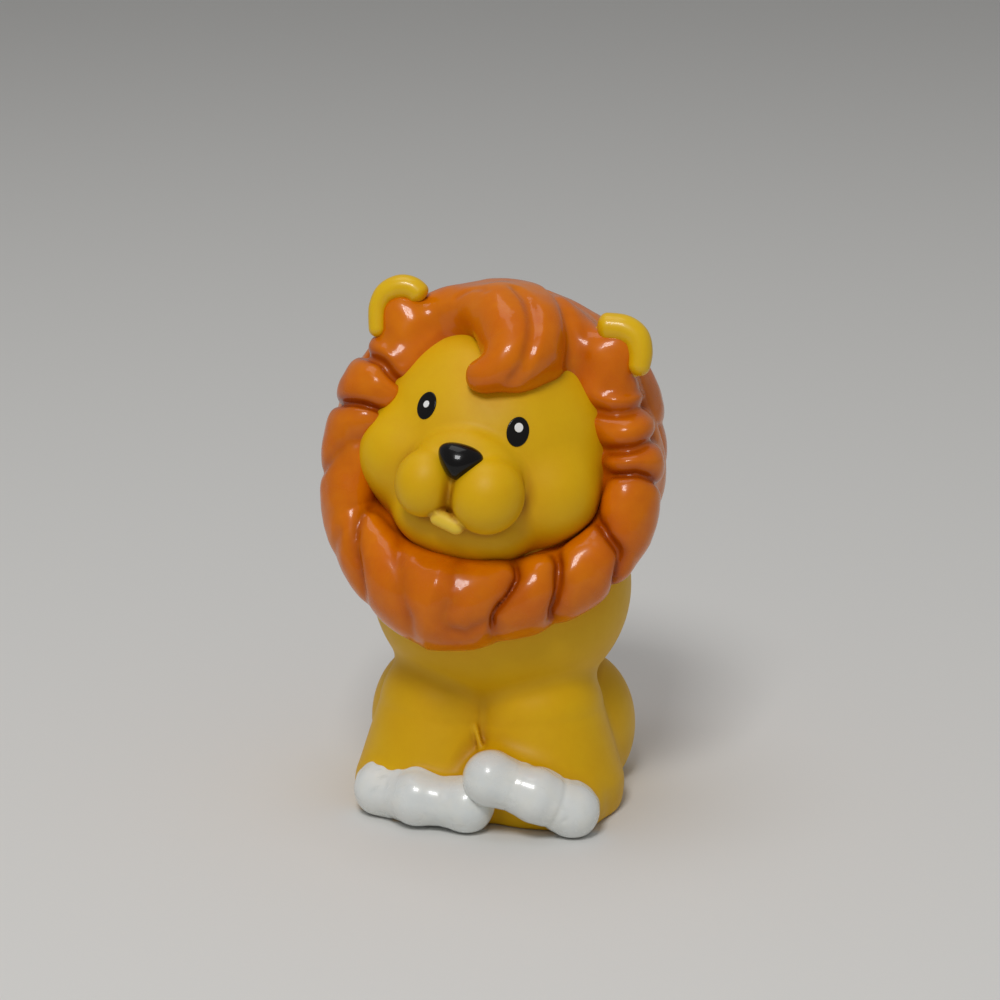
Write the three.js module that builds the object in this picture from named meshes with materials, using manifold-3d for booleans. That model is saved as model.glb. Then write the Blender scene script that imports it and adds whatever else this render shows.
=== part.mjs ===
// Toy lion figure: a hollow soft-vinyl lion with a glossy mane, made as separate mouldings.
// Units are millimetres. +Z is up, the lion faces -Y, and the origin is the middle of its underside.
// Left and right are as seen from the front, so left is -X.
import * as THREE from "three";
import { mergeVertices } from "three/addons/utils/BufferGeometryUtils.js";
import Module from "manifold-3d";

const wasm = await Module();
wasm.setup();

// General sizes
const wall = 2;
const seatGap = 0.3;
const overrun = 4;

// Body sizes
const chestHeight = 28;
const chestShift = 0.7;
const chestBack = 0.3;
const chestHalfWidth = 16.7;
const chestHalfDepth = 14.5;
const chestHalfHeight = 16;
const hipHeight = 2;
const hipBack = 2.2;
const hipHalfWidth = 16.2;
const hipHalfDepth = 13.6;
const hipHalfHeight = 20;
const kneeHeight = 12.2;
const kneeSpread = 5.9;
const kneeForward = 3.2;
const kneeRadius = 8.6;
const ankleHeight = 3;
const ankleSpread = 6.8;
const ankleForward = 4;
const ankleRadius = 10.5;
const haunchHeight = 7;
const haunchSpread = 9.6;
const haunchBack = 6.5;
const haunchHalfWidth = 7.9;
const haunchHalfDepth = 8.8;
const haunchHalfHeight = 10;
const footRadius = 3.1;
const footSet = 2.7;
const footDrop = 0.5;
const footBlend = 2.6;
const waistBlend = 2;
const legBlend = 0.8;
const haunchBlend = 0.6;

// Paw sizes
const toeHalfWidth = 3.2;
const toeHalfDepth = 3.4;
const toeHalfHeight = 3.4;

// Head sizes, in the head's own frame
const neckRise = 18;
const headForward = 1;
const headShift = -0.2;
const faceHalfWidth = 15.9;
const faceHalfDepth = 14.5;
const faceHalfHeight = 16;
const cheekRadius = 6.3;
const muzzleHalfWidth = 7.2;
const muzzleHalfDepth = 5.8;
const muzzleHalfHeight = 6.3;
const leftLobeRadius = 4;
const rightLobeRadius = 4.7;
const jawHalfWidth = 8.6;
const jawHalfDepth = 5.4;
const jawHalfHeight = 4.6;
const lipRadius = 1.05;
const cheekBlend = 2;
const muzzleBlend = 0.7;
const lobeBlend = 0.8;
const lobeMeetBlend = 0.5;
const lipBlend = 0.3;

// Mane sizes, in the head's own frame
const maneRise = 5.3;
const maneSide = 4.3;
const maneCapHalfDepth = 15.5;
const maneCapBack = 6;
const maneBlend = 2.4;
const earLobeBlend = 0.4;
const lockHeight = 1.5;
const lockWidth = 6;

// Forelock sizes
const strandRadius = 2.6;

// Ear sizes
const earRadius = 2.9;
const earRim = 1.3;
const earWeb = 1.7;
const earWebBack = 0.8;

// Nose and eye sizes
const noseHalfWidth = 2.7;
const noseHalfHeight = 2.1;
const noseHalfDepth = 2;
const eyeHalfWidth = 1.2;
const eyeHalfHeight = 1.75;
const eyeHalfDepth = 0.7;
const eyeProud = 0.25;

// Tail sizes
const tailRadius = 2;
const tuftRadius = 3.4;
const tuftLength = 9;

// Neck and base plug sizes
const neckHalfWidth = 8;
const neckHalfDepth = 6.5;
const neckLip = 1.2;
const neckLipDepth = 3.5;
const plugRadius = 9.2;
const plugThickness = 1.5;
const plugLedge = 1.8;
const plugSeat = 1.6;
const plugWall = 1.2;
const plugBead = 0.5;
const plugBeadHeight = 1.1;

// How closely surfaces are traced
const traceSteps = 60;
const traceCautionShare = 0.75;
const traceTouch = 0.002;

// The head's tilt in degrees: roll towards the right, yaw to the left, and chin up
const headRoll = 11.7;
const headYaw = -4;
const headPitch = -18;

const materials = {
  vinyl: new THREE.MeshStandardMaterial({ color: 0xdfae14, roughness: 0.5, metalness: 0 }),
  mane: new THREE.MeshStandardMaterial({ color: 0xd26a06, roughness: 0.18, metalness: 0 }),
  ear: new THREE.MeshStandardMaterial({ color: 0xe6b81c, roughness: 0.35, metalness: 0 }),
  white: new THREE.MeshStandardMaterial({ color: 0xe8ece8, roughness: 0.22, metalness: 0 }),
  black: new THREE.MeshStandardMaterial({ color: 0x0b0909, roughness: 0.12, metalness: 0 }),
  plug: new THREE.MeshStandardMaterial({ color: 0xd8a81a, roughness: 0.42, metalness: 0 }),
};

const at = (x, y, z) => new THREE.Vector3(x, y, z);
const origin = at(0, 0, 0);
const { lerp, clamp, smoothstep, degToRad, radToDeg } = THREE.MathUtils;

// Shapes as distances: each takes a point and gives a length, which is negative inside

const ellipsoid = (middle, radii) => (point) => {
  const offset = point.clone().sub(middle).divide(radii);
  const near = offset.length();
  const steep = offset.divide(radii).length();
  return steep > 0 ? (near * (near - 1)) / steep : -Math.min(radii.x, radii.y, radii.z);
};

const ball = (middle, radius) => (point) => point.distanceTo(middle) - radius;

// A rod through stations of { place, radius }, its radius running evenly from one to the next.
const rod = (stations) => (point) => {
  let nearest = Infinity;
  for (let i = 1; i < stations.length; i++) {
    const [from, to] = [stations[i - 1], stations[i]];
    const along = to.place.clone().sub(from.place);
    const offset = point.clone().sub(from.place);
    const share = clamp(offset.dot(along) / along.lengthSq(), 0, 1);
    const radius = lerp(from.radius, to.radius, share);
    nearest = Math.min(nearest, offset.addScaledVector(along, -share).length() - radius);
  }
  return nearest;
};

// Joins shapes with a fillet of about the given reach.
const blend = (reach, ...shapes) => (point) =>
  shapes
    .map((shape) => shape(point))
    .reduce((a, b) => {
      const overlap = Math.max(reach - Math.abs(a - b), 0) / reach;
      return Math.min(a, b) - (overlap * overlap * reach) / 4;
    });

const grow = (shape, by) => (point) => shape(point) - by;

// How far from middle the shape's surface lies along a direction, found from outside.
function reachOf(shape, middle, direction, furthest) {
  let distance = furthest;
  for (let step = 0; step < traceSteps; step++) {
    const gap = shape(middle.clone().addScaledVector(direction, distance));
    if (gap < traceTouch) break;
    distance -= gap * traceCautionShare;
  }
  return Math.max(distance, traceTouch);
}

// A shape's surface as a mesh. Rows lists how far round from the front each row lies, as shares
// of the half turn from front to back, and columns says how many faces go round.
function skin(shape, middle, furthest, columns, rowShares) {
  const vertices = [];
  const faces = [];
  const put = (direction) => {
    const distance = reachOf(shape, middle, direction, furthest);
    vertices.push(...middle.clone().addScaledVector(direction, distance).toArray());
  };
  put(at(0, -1, 0));
  for (const share of rowShares) {
    for (let column = 0; column < columns; column++) put(aim(180 * share, (360 * column) / columns));
  }
  put(at(0, 1, 0));
  const last = vertices.length / 3 - 1;
  const spot = (row, column) => 1 + row * columns + (column % columns);
  for (let column = 0; column < columns; column++) {
    faces.push(0, spot(0, column + 1), spot(0, column));
    for (let row = 1; row < rowShares.length; row++) {
      faces.push(spot(row - 1, column), spot(row, column + 1), spot(row, column));
      faces.push(spot(row - 1, column), spot(row - 1, column + 1), spot(row, column + 1));
    }
    faces.push(last, spot(rowShares.length - 1, column), spot(rowShares.length - 1, column + 1));
  }
  return meshOf(vertices, faces);
}

// Even rows from front to back, or rows packed where the listed shares lie.
const evenRows = (count) => Array.from({ length: count }, (_, i) => (i + 1) / (count + 1));

function packedRows(stops) {
  return stops.slice(1).flatMap((stop, i) => {
    const start = stops[i].at;
    return Array.from({ length: stop.rows }, (_, row) => lerp(start, stop.at, (row + 1) / stop.rows));
  });
}

function meshOf(vertices, faces) {
  const made = new THREE.BufferGeometry();
  made.setAttribute("position", new THREE.BufferAttribute(new Float32Array(vertices), 3));
  made.setIndex(faces);
  return made;
}

// A round tube of changing radius with rounded ends, through stations of { place, radius }.
function tube(stations, rings, sides) {
  const curve = new THREE.CatmullRomCurve3(stations.map((station) => station.place));
  const frames = curve.computeFrenetFrames(rings, false);
  const radiusAt = (share) => {
    const place = share * (stations.length - 1);
    const low = Math.min(Math.floor(place), stations.length - 2);
    return lerp(stations[low].radius, stations[low + 1].radius, place - low);
  };
  const slices = [];
  for (const lean of [60, 30]) slices.push({ share: 0, lean: degToRad(lean), way: -1 });
  for (let i = 0; i <= rings; i++) slices.push({ share: i / rings, lean: 0, way: 0 });
  for (const lean of [30, 60]) slices.push({ share: 1, lean: degToRad(lean), way: 1 });
  const middleOf = ({ share, lean, way }) =>
    curve
      .getPoint(share)
      .addScaledVector(frames.tangents[Math.round(share * rings)], way * radiusAt(share) * Math.sin(lean));
  const vertices = [...middleOf({ share: 0, lean: Math.PI / 2, way: -1 }).toArray()];
  for (const slice of slices) {
    const frame = Math.round(slice.share * rings);
    const radius = radiusAt(slice.share) * Math.cos(slice.lean);
    for (let side = 0; side < sides; side++) {
      const turn = (2 * Math.PI * side) / sides;
      const spot = middleOf(slice);
      spot.addScaledVector(frames.normals[frame], radius * Math.cos(turn));
      spot.addScaledVector(frames.binormals[frame], radius * Math.sin(turn));
      vertices.push(...spot.toArray());
    }
  }
  vertices.push(...middleOf({ share: 1, lean: Math.PI / 2, way: 1 }).toArray());
  return meshOf(vertices, tubeFaces(slices.length, sides));
}

function tubeFaces(rows, sides) {
  const faces = [];
  const last = rows * sides + 1;
  const spot = (row, side) => 1 + row * sides + (side % sides);
  for (let side = 0; side < sides; side++) {
    faces.push(0, spot(0, side + 1), spot(0, side));
    for (let row = 1; row < rows; row++) {
      faces.push(spot(row - 1, side), spot(row - 1, side + 1), spot(row, side));
      faces.push(spot(row - 1, side + 1), spot(row, side + 1), spot(row, side));
    }
    faces.push(last, spot(rows - 1, side), spot(rows - 1, side + 1));
  }
  return faces;
}

const thicker = (stations, by) => stations.map(({ place, radius }) => ({ place, radius: radius + by }));

// Solids: joined and cut as closed bodies

function solid(geometry) {
  const bare = geometry.clone();
  bare.deleteAttribute("normal");
  bare.deleteAttribute("uv");
  const merged = mergeVertices(bare);
  const mesh = new wasm.Mesh({
    numProp: 3,
    vertProperties: new Float32Array(merged.getAttribute("position").array),
    triVerts: new Uint32Array(merged.index.array),
  });
  return new wasm.Manifold(mesh);
}

const moved = (made, matrix) => made.transform(matrix.toArray());
const joined = (...solids) => solids.reduce((a, b) => a.add(b));
const largest = (made) => made.decompose().reduce((a, b) => (a.volume() > b.volume() ? a : b));

function geometryOf(made) {
  const mesh = made.getMesh();
  const geometry = meshOf(mesh.vertProperties, Array.from(mesh.triVerts));
  geometry.computeVertexNormals();
  return geometry;
}

// A block that fills everything below a height.
function below(height) {
  const size = chestHalfWidth + maneRadius + headHeight;
  return solid(new THREE.BoxGeometry(size, size, size).translate(0, 0, height - size / 2));
}

// An upright oval post from one height to another.
function post(halfWidth, halfDepth, low, high, back = 0, sides = 28) {
  const round = new THREE.CylinderGeometry(1, 1, 1, sides).rotateX(Math.PI / 2);
  return solid(round.scale(halfWidth, halfDepth, high - low).translate(0, back, (low + high) / 2));
}

// The head's frame

const headHeight = chestHeight + neckRise;
const headToFigure = new THREE.Matrix4()
  .makeRotationY(degToRad(headRoll))
  .multiply(new THREE.Matrix4().makeRotationZ(degToRad(headYaw)))
  .multiply(new THREE.Matrix4().makeRotationX(degToRad(headPitch)))
  .setPosition(headShift, -headForward, headHeight);
const figureToHead = headToFigure.clone().invert();

// A direction from a middle: lean is the angle from straight ahead, and turn runs clockwise
// round the face from the top as seen from the front, both in degrees.
function aim(lean, turn) {
  const [tilt, spin] = [degToRad(lean), degToRad(turn)];
  return at(Math.sin(tilt) * Math.sin(spin), -Math.cos(tilt), Math.sin(tilt) * Math.cos(spin));
}

// Body

const chestRadii = at(chestHalfWidth, chestHalfDepth, chestHalfHeight);
const hipRadii = at(hipHalfWidth, hipHalfDepth, hipHalfHeight);
const haunchRadii = at(haunchHalfWidth, haunchHalfDepth, haunchHalfHeight);

// Toes: where each lies round its ankle, in degrees from straight ahead towards the right, how
// far out and how high it lies as shares of the ankle's radius and of the toe's height, and its
// size. The right paw is crossed over the left one, so its inner toes are raised.
const toeShares = {
  paw_left: [
    { side: -1, turn: -42, out: 0.9, up: 0.95, size: 0.98 },
    { side: -1, turn: -5, out: 0.98, up: 1.07, size: 1.03 },
    { side: -1, turn: 27, out: 1.17, up: 0.95, size: 1 },
  ],
  paw_right: [
    { side: 1, turn: -22, out: 1.25, up: 2.22, size: 1 },
    { side: 1, turn: 4, out: 1.14, up: 1.63, size: 1 },
    { side: 1, turn: 27, out: 1.1, up: 0.92, size: 1 },
  ],
};

const toeBarShare = 0.93;

function toePlace({ side, turn, out, up }) {
  const [angle, distance] = [degToRad(turn), out * ankleRadius];
  const across = side * ankleSpread + Math.sin(angle) * distance;
  return at(across, -ankleForward - Math.cos(angle) * distance, up * toeHalfHeight);
}

function torsoShape() {
  const chest = ellipsoid(at(chestShift, chestBack, chestHeight), chestRadii);
  const hips = ellipsoid(at(0, hipBack, hipHeight), hipRadii);
  const legs = [-1, 1].map((side) =>
    rod([
      { place: at(side * kneeSpread, -kneeForward, kneeHeight), radius: kneeRadius },
      { place: at(side * ankleSpread, -ankleForward, ankleHeight), radius: ankleRadius },
    ]),
  );
  const haunches = [-1, 1].map((side) =>
    ellipsoid(at(side * haunchSpread, haunchBack, haunchHeight), haunchRadii),
  );
  const feet = Object.values(toeShares).map((shares) =>
    rod(
      shares.map((share) => ({
        place: toePlace(share).add(at(0, footSet, -footDrop)),
        radius: footRadius,
      })),
    ),
  );
  const standing = blend(footBlend, blend(legBlend, hips, ...legs), ...feet);
  const lower = blend(haunchBlend, standing, ...haunches);
  return blend(waistBlend, chest, lower);
}

const torso = torsoShape();
const torsoMiddle = at(0, 0, (chestHeight + hipHeight) / 2);
const torsoReach = chestHeight + chestHalfHeight;

function torsoSolid(by, columns = 44, rows = 24) {
  return solid(skin(grow(torso, by), torsoMiddle, torsoReach, columns, evenRows(rows)));
}

// The toes of a paw, and the bar behind them that fills the creases between them.
function pawSolid(shares, by, sides = 14) {
  const toes = shares.map((share) => {
    const toe = new THREE.SphereGeometry(1, sides, 9);
    const radii = at(toeHalfWidth, toeHalfDepth, toeHalfHeight).multiplyScalar(share.size).addScalar(by);
    return solid(toe.scale(...radii.toArray()).translate(...toePlace(share).toArray()));
  });
  const bar = shares.map((share) => ({
    place: toePlace(share),
    radius: toeBarShare * share.size * toeHalfWidth + by,
  }));
  return joined(...toes, solid(tube(bar, 6, sides))).subtract(below(by > 0 ? -overrun : 0));
}

// Head

function headShape() {
  const skull = ellipsoid(origin, at(faceHalfWidth, faceHalfDepth, faceHalfHeight));
  const cheekShare = { across: 0.59, forward: 0.33, down: 0.23 };
  const cheeks = [-1, 1].map((side) =>
    ball(onFace(side * cheekShare.across, cheekShare.forward, -cheekShare.down), cheekRadius),
  );
  const muzzleShare = { across: 0.02, forward: 0.88, down: 0.29 };
  const muzzle = ellipsoid(
    onFace(muzzleShare.across, muzzleShare.forward, -muzzleShare.down),
    at(muzzleHalfWidth, muzzleHalfDepth, muzzleHalfHeight),
  );
  const jawShare = { forward: 0.56, down: 0.64 };
  const jaw = ellipsoid(
    onFace(0, jawShare.forward, -jawShare.down),
    at(jawHalfWidth, jawHalfDepth, jawHalfHeight),
  );
  const leftLobeShare = { across: -0.275, forward: 1.06, down: 0.4, tall: 1.1 };
  const rightLobeShare = { across: 0.225, forward: 1.06, down: 0.405, tall: 1.05 };
  const lobes = [
    [leftLobeShare, leftLobeRadius],
    [rightLobeShare, rightLobeRadius],
  ].map(([share, radius]) =>
    ellipsoid(
      onFace(share.across, share.forward, -share.down),
      at(radius, radius, radius * share.tall),
    ),
  );
  const lipShares = [
    { across: -0.09, forward: 1.1, down: 0.68 },
    { across: 0.06, forward: 1.1, down: 0.72 },
  ];
  const lip = rod(
    lipShares.map((share) => ({
      place: onFace(share.across, share.forward, -share.down),
      radius: lipRadius,
    })),
  );
  const face = blend(cheekBlend, skull, ...cheeks, jaw);
  const dome = blend(lobeBlend, muzzle, blend(lobeMeetBlend, ...lobes));
  return blend(lipBlend, blend(muzzleBlend, face, dome), lip);
}

// A place in the head given as shares of the face's half sizes.
function onFace(across, forward, up) {
  return at(across * faceHalfWidth, -forward * faceHalfDepth, up * faceHalfHeight);
}

const face = headShape();
const faceReach = 2 * faceHalfHeight;
const faceRows = packedRows([{ at: 0 }, { at: 0.34, rows: 14 }, { at: 0.92, rows: 7 }]);

function headSolid(by, columns = 36, rows = faceRows) {
  return solid(skin(grow(face, by), origin, faceReach, columns, rows));
}

// Mane: a cap behind the head, and a rim round the face whose locks are swells between grooves
const maneHalfWidth = faceHalfWidth + maneSide;
const maneRadius = faceHalfHeight + maneRise;
const maneReach = 2 * maneRadius;

// The rim at turns round the face in degrees: its inner radius as a share of the face's half height,
// its outer radius as one of the mane's, and how far forward it lies as one of the face's half depth.
const rimShares = [
  { turn: 0, inner: 0.863, outer: 0.92, forward: 0.179 },
  { turn: 20, inner: 0.863, outer: 0.901, forward: 0.179 },
  { turn: 43, inner: 0.912, outer: 0.901, forward: 0.193 },
  { turn: 64, inner: 0.912, outer: 0.93, forward: 0.221 },
  { turn: 81, inner: 0.95, outer: 0.986, forward: 0.248 },
  { turn: 94, inner: 0.988, outer: 1.01, forward: 0.262 },
  { turn: 106, inner: 1.02, outer: 1.05, forward: 0.262 },
  { turn: 117, inner: 1.01, outer: 1.06, forward: 0.29 },
  { turn: 131, inner: 0.969, outer: 1.07, forward: 0.359 },
  { turn: 141, inner: 0.925, outer: 1.07, forward: 0.4 },
  { turn: 157, inner: 0.875, outer: 1.08, forward: 0.455 },
  { turn: 172, inner: 0.856, outer: 1.14, forward: 0.497 },
  { turn: 180, inner: 0.863, outer: 1.17, forward: 0.497 },
  { turn: 195, inner: 0.894, outer: 1.12, forward: 0.469 },
  { turn: 212, inner: 0.95, outer: 1.06, forward: 0.4 },
  { turn: 229, inner: 0.97, outer: 1.03, forward: 0.331 },
  { turn: 245, inner: 0.91, outer: 0.97, forward: 0.303 },
  { turn: 259, inner: 0.806, outer: 0.93, forward: 0.29 },
  { turn: 271, inner: 0.75, outer: 0.911, forward: 0.29 },
  { turn: 287, inner: 0.744, outer: 0.892, forward: 0.283 },
  { turn: 305, inner: 0.781, outer: 0.873, forward: 0.248 },
  { turn: 325, inner: 0.912, outer: 0.883, forward: 0.207 },
  { turn: 345, inner: 0.925, outer: 0.911, forward: 0.179 },
];
const rimDepthShare = 1.15;

function rimAt(turn) {
  const count = rimShares.length;
  const next = rimShares.findIndex((row) => row.turn > turn);
  const [from, to] = [rimShares[(next < 0 ? count : next) - 1], rimShares[next < 0 ? 0 : next]];
  const share = (turn - from.turn) / ((to.turn - from.turn + 360) % 360);
  const inner = lerp(from.inner, to.inner, share) * faceHalfHeight;
  const outer = lerp(from.outer, to.outer, share) * maneRadius;
  const forward = lerp(from.forward, to.forward, share) * faceHalfDepth;
  return { middle: (inner + outer) / 2, half: (outer - inner) / 2, forward };
}

const turnOf = (across, ahead) => (radToDeg(Math.atan2(across, ahead)) + 360) % 360;

// Where a point lies round the face: its turn in degrees from the top, how far round the rim's
// section it is, from 0 at the face to 2 behind, and its distance from the rim.
function roundFace(point) {
  const turn = turnOf(point.x, point.z);
  const { middle, half, forward } = rimAt(turn);
  const out = (Math.hypot(point.x, point.z) - middle) / half;
  const back = (point.y + forward) / (half * rimDepthShare);
  const place = Math.atan2(back, out) / Math.PI + 1;
  return { turn, place, gap: (Math.hypot(out, back) - 1) * half };
}

// Where a point lies round the crown: its turn in degrees from straight back, how far down it has
// come, from 0 at the crown to 2 below, and whether it is behind the rim, from 0 to 1.
function roundCrown(point) {
  const behind = point.y - crownShares.back * maneCapHalfDepth;
  const place = (2 * Math.atan2(Math.hypot(point.x, behind), point.z)) / Math.PI;
  const lean = (2 * Math.atan2(Math.hypot(point.x, point.z), -point.y)) / Math.PI;
  const shown = smoothstep(lean, crownShares.from, crownShares.to);
  return { turn: turnOf(point.x, behind), place, shown };
}

function maneBase() {
  const capRadii = at(maneHalfWidth, maneCapHalfDepth, maneRadius);
  const cap = ellipsoid(at(0, maneCapBack, 0), capRadii);
  return blend(maneBlend, cap, (point) => roundFace(point).gap);
}

// Rows of locks: the turns at which each groove starts and ends, and where the row starts and ends.
// The front row goes round the rim's section, and the others come down from the crown.
const evenGrooves = (count, start, end) =>
  Array.from({ length: count }, (_, i) => [start + (360 * i) / count, end + (360 * i) / count]);

const frontRowShares = {
  grooves: [
    [4, 4],
    [62, 62],
    [80, 73],
    [90, 84],
    [110, 122],
    [131, 146],
    [146, 163],
    [176, 176],
    [200, 191],
    [220, 210],
    [261, 221],
    [270, 266],
    [291, 291],
  ],
  from: 0.1,
  to: 1.32,
};
const backRowShares = [
  { grooves: evenGrooves(9, 12, 24), from: 0.12, to: 0.74 },
  { grooves: evenGrooves(12, -4, -14), from: 0.56, to: 1.12 },
  { grooves: evenGrooves(13, 4, 12), from: 0.94, to: 1.56 },
];
const lockShares = { fade: 0.3, least: 0.5, most: 1.1, round: 2.2, square: 4, root: 0.55 };
// The crown lies behind the middle, the rows from it start behind the rim, and the rim is calmer there.
const crownShares = { back: 0.2, from: 1.02, to: 1.3, turn: 20, spread: 45, calm: 0.65 };

// How far a row's locks stand out at a point, as a share of a lock's height.
function swell(row, { turn, place }) {
  const share = clamp((place - row.from) / (row.to - row.from), 0, 1);
  const edges = row.grooves.map(([from, to]) => lerp(from, to, share));
  const widthOf = (i) => (edges[(i + 1) % edges.length] - edges[i] + 360) % 360;
  const past = (i) => (turn - edges[i] + 720) % 360;
  const lock = edges.findIndex((_, i) => past(i) < widthOf(i));
  if (lock < 0) return 0;
  const side = Math.abs((2 * past(lock)) / widthOf(lock) - 1);
  const along = Math.max(2 * share - 1, 0);
  const room = (degToRad(widthOf(lock)) * maneRadius) / lockWidth;
  const wide = clamp(room, lockShares.least, lockShares.most);
  const tip = Math.max(1 - side ** lockShares.round - along ** lockShares.square, 0);
  return Math.sqrt(tip) * wide * smoothstep(place, row.from, row.from + lockShares.fade);
}

function lockRise(point) {
  const [ahead, above] = [roundFace(point), roundCrown(point)];
  const near = (((ahead.turn - crownShares.turn + 540) % 360) - 180) / crownShares.spread;
  const front = swell(frontRowShares, ahead) * (1 - crownShares.calm * Math.exp(-near * near));
  const back = backRowShares.map((row) => {
    const share = clamp((above.place - row.from) / (row.to - row.from), 0, 1);
    return swell(row, above) * above.shown * lerp(lockShares.root, 1, share);
  });
  return Math.max(front, ...back) * lockHeight;
}

// Ears: where each stands as shares of the mane's radius, and how far it is turned in degrees
const earShares = [
  { name: "ear_left", across: -0.7, forward: 0.3, up: 0.635, turn: -34, from: -30, to: 210, size: 1 },
  { name: "ear_right", across: 0.6, forward: 0.26, up: 0.74, turn: 16, from: -68, to: 150, size: 1.12 },
];

function earMatrix(share) {
  const place = at(share.across, -share.forward, share.up).multiplyScalar(maneRadius);
  const placed = new THREE.Matrix4().makeRotationY(degToRad(share.turn)).setPosition(place);
  return placed.scale(at(share.size, share.size, share.size));
}

const earLobeShare = 0.8;
const earFootShare = 0.8;
const earTopShare = 1.15;

function earLobe(share) {
  const place = origin.clone().applyMatrix4(earMatrix(share));
  const radii = at(earRadius, earRim, earRadius).multiplyScalar(earLobeShare * share.size);
  return ellipsoid(place, radii);
}

function maneShape() {
  const base = maneBase();
  const locks = (point) => base(point) - lockRise(point);
  return blend(earLobeBlend, locks, ...earShares.map(earLobe));
}

// The rim of an ear runs round from one foot over the top to the other, thickest at the top.
function earSolid(share) {
  const stops = 8;
  const rim = Array.from({ length: stops + 1 }, (_, i) => {
    const angle = degToRad(lerp(share.from, share.to, i / stops));
    const radius = earRim * lerp(earFootShare, earTopShare, Math.max(Math.sin(angle), 0));
    return { place: at(Math.cos(angle) * earRadius, 0, Math.sin(angle) * earRadius), radius };
  });
  const loop = solid(tube(rim, 12, 8));
  const web = new THREE.SphereGeometry(1, 14, 9);
  web.scale(earRadius + earRim / 2, earWeb, earRadius + earRim / 2).translate(0, earWebBack, 0);
  return moved(loop.add(solid(web)), earMatrix(share));
}

// Forelock: a broad root, and four strands from the crown that hook round over the brow, given as
// shares of the mane's radius and of a strand's
const strandShares = [
  [
    { across: 0, forward: 0, up: 0.8, thick: 1.3 },
    { across: 0.06, forward: 0.34, up: 0.7, thick: 1.5 },
    { across: 0.09, forward: 0.44, up: 0.6, thick: 1.35 },
    { across: 0.1, forward: 0.52, up: 0.48, thick: 0.8 },
  ],
  [
    { across: -0.3, forward: 0.3, up: 0.8, thick: 0.8 },
    { across: -0.16, forward: 0.47, up: 0.69, thick: 0.8 },
    { across: -0.1, forward: 0.56, up: 0.57, thick: 0.74 },
    { across: -0.075, forward: 0.62, up: 0.46, thick: 0.5 },
  ],
  [
    { across: -0.2, forward: 0.1, up: 0.82, thick: 1 },
    { across: -0.06, forward: 0.43, up: 0.76, thick: 1.1 },
    { across: 0.017, forward: 0.535, up: 0.645, thick: 1.12 },
    { across: 0.042, forward: 0.61, up: 0.509, thick: 1.12 },
    { across: 0.008, forward: 0.66, up: 0.412, thick: 1 },
    { across: -0.068, forward: 0.67, up: 0.36, thick: 0.8 },
  ],
  [
    { across: -0.08, forward: 0.1, up: 0.9, thick: 0.9 },
    { across: 0.083, forward: 0.29, up: 0.82, thick: 0.95 },
    { across: 0.187, forward: 0.458, up: 0.696, thick: 1 },
    { across: 0.23, forward: 0.543, up: 0.56, thick: 0.92 },
    { across: 0.195, forward: 0.594, up: 0.45, thick: 0.79 },
    { across: 0.127, forward: 0.637, up: 0.39, thick: 0.58 },
  ],
  [
    { across: 0.03, forward: 0.08, up: 0.87, thick: 0.9 },
    { across: 0.155, forward: 0.18, up: 0.83, thick: 0.9 },
    { across: 0.255, forward: 0.314, up: 0.738, thick: 0.83 },
    { across: 0.272, forward: 0.44, up: 0.594, thick: 0.71 },
    { across: 0.246, forward: 0.518, up: 0.484, thick: 0.5 },
  ],
];

function forelockSolid() {
  const strands = strandShares.map((strand) => {
    const stations = strand.map(({ across, forward, up, thick }) => ({
      place: at(across, -forward, up).multiplyScalar(maneRadius),
      radius: thick * strandRadius,
    }));
    return solid(tube(stations, 10, 8));
  });
  return joined(...strands);
}

// Nose and eyes
const noseShare = { across: -0.04, forward: 1.2, up: -0.155, flare: 0.5, lean: 20 };

// A button whose sides flare out towards its top.
function noseSolid(by) {
  const button = new THREE.SphereGeometry(1, 16, 11).rotateX(Math.PI / 2);
  const position = button.getAttribute("position");
  for (let i = 0; i < position.count; i++) {
    position.setX(i, position.getX(i) * (1 + noseShare.flare * position.getZ(i)));
  }
  button.scale(noseHalfWidth + by, noseHalfDepth + by, noseHalfHeight + by);
  button.rotateX(degToRad(-noseShare.lean));
  const middle = onFace(noseShare.across, noseShare.forward, noseShare.up);
  return solid(button.translate(...middle.toArray()));
}

const eyeShares = [
  { name: "eye_left", across: -0.457, up: 0.193, size: 0.92, tilt: 9 },
  { name: "eye_right", across: 0.313, up: 0.144, size: 1, tilt: -2 },
];

function eyeSolid(share, by) {
  const [across, up] = [share.across * faceHalfWidth, share.up * faceHalfHeight];
  const start = at(across, 0, up);
  const forward = at(0, -1, 0);
  const surface = start.clone().addScaledVector(forward, reachOf(face, start, forward, faceReach));
  const step = eyeHalfWidth;
  const slope = (direction) =>
    face(surface.clone().addScaledVector(direction, step)) -
    face(surface.clone().addScaledVector(direction, -step));
  const out = at(slope(at(1, 0, 0)), slope(at(0, 1, 0)), slope(at(0, 0, 1))).normalize();
  const facing = new THREE.Matrix4().lookAt(out, origin, at(0, 0, 1));
  const lens = new THREE.SphereGeometry(1, 16, 8).rotateX(Math.PI / 2);
  lens.scale(eyeHalfWidth * share.size + by, eyeHalfHeight * share.size + by, eyeHalfDepth + by);
  lens.rotateZ(degToRad(-share.tilt));
  lens.applyMatrix4(facing.setPosition(surface.addScaledVector(out, eyeProud - eyeHalfDepth)));
  return solid(lens);
}

// Tail: lies up the middle of the back, and ends in a tuft below the mane. Its places are shares of
// the chest's half width and of the height of the mane's lowest edge.
const maneFoot = headHeight - maneRadius;
const tailShares = [
  { across: 0, up: 0.115, thick: 1 },
  { across: 0.14, up: 0.277, thick: 1 },
  { across: 0.26, up: 0.46, thick: 0.95 },
  { across: 0.22, up: 0.62, thick: 0.88 },
  { across: 0.1, up: 0.75, thick: 0.8 },
];

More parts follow.
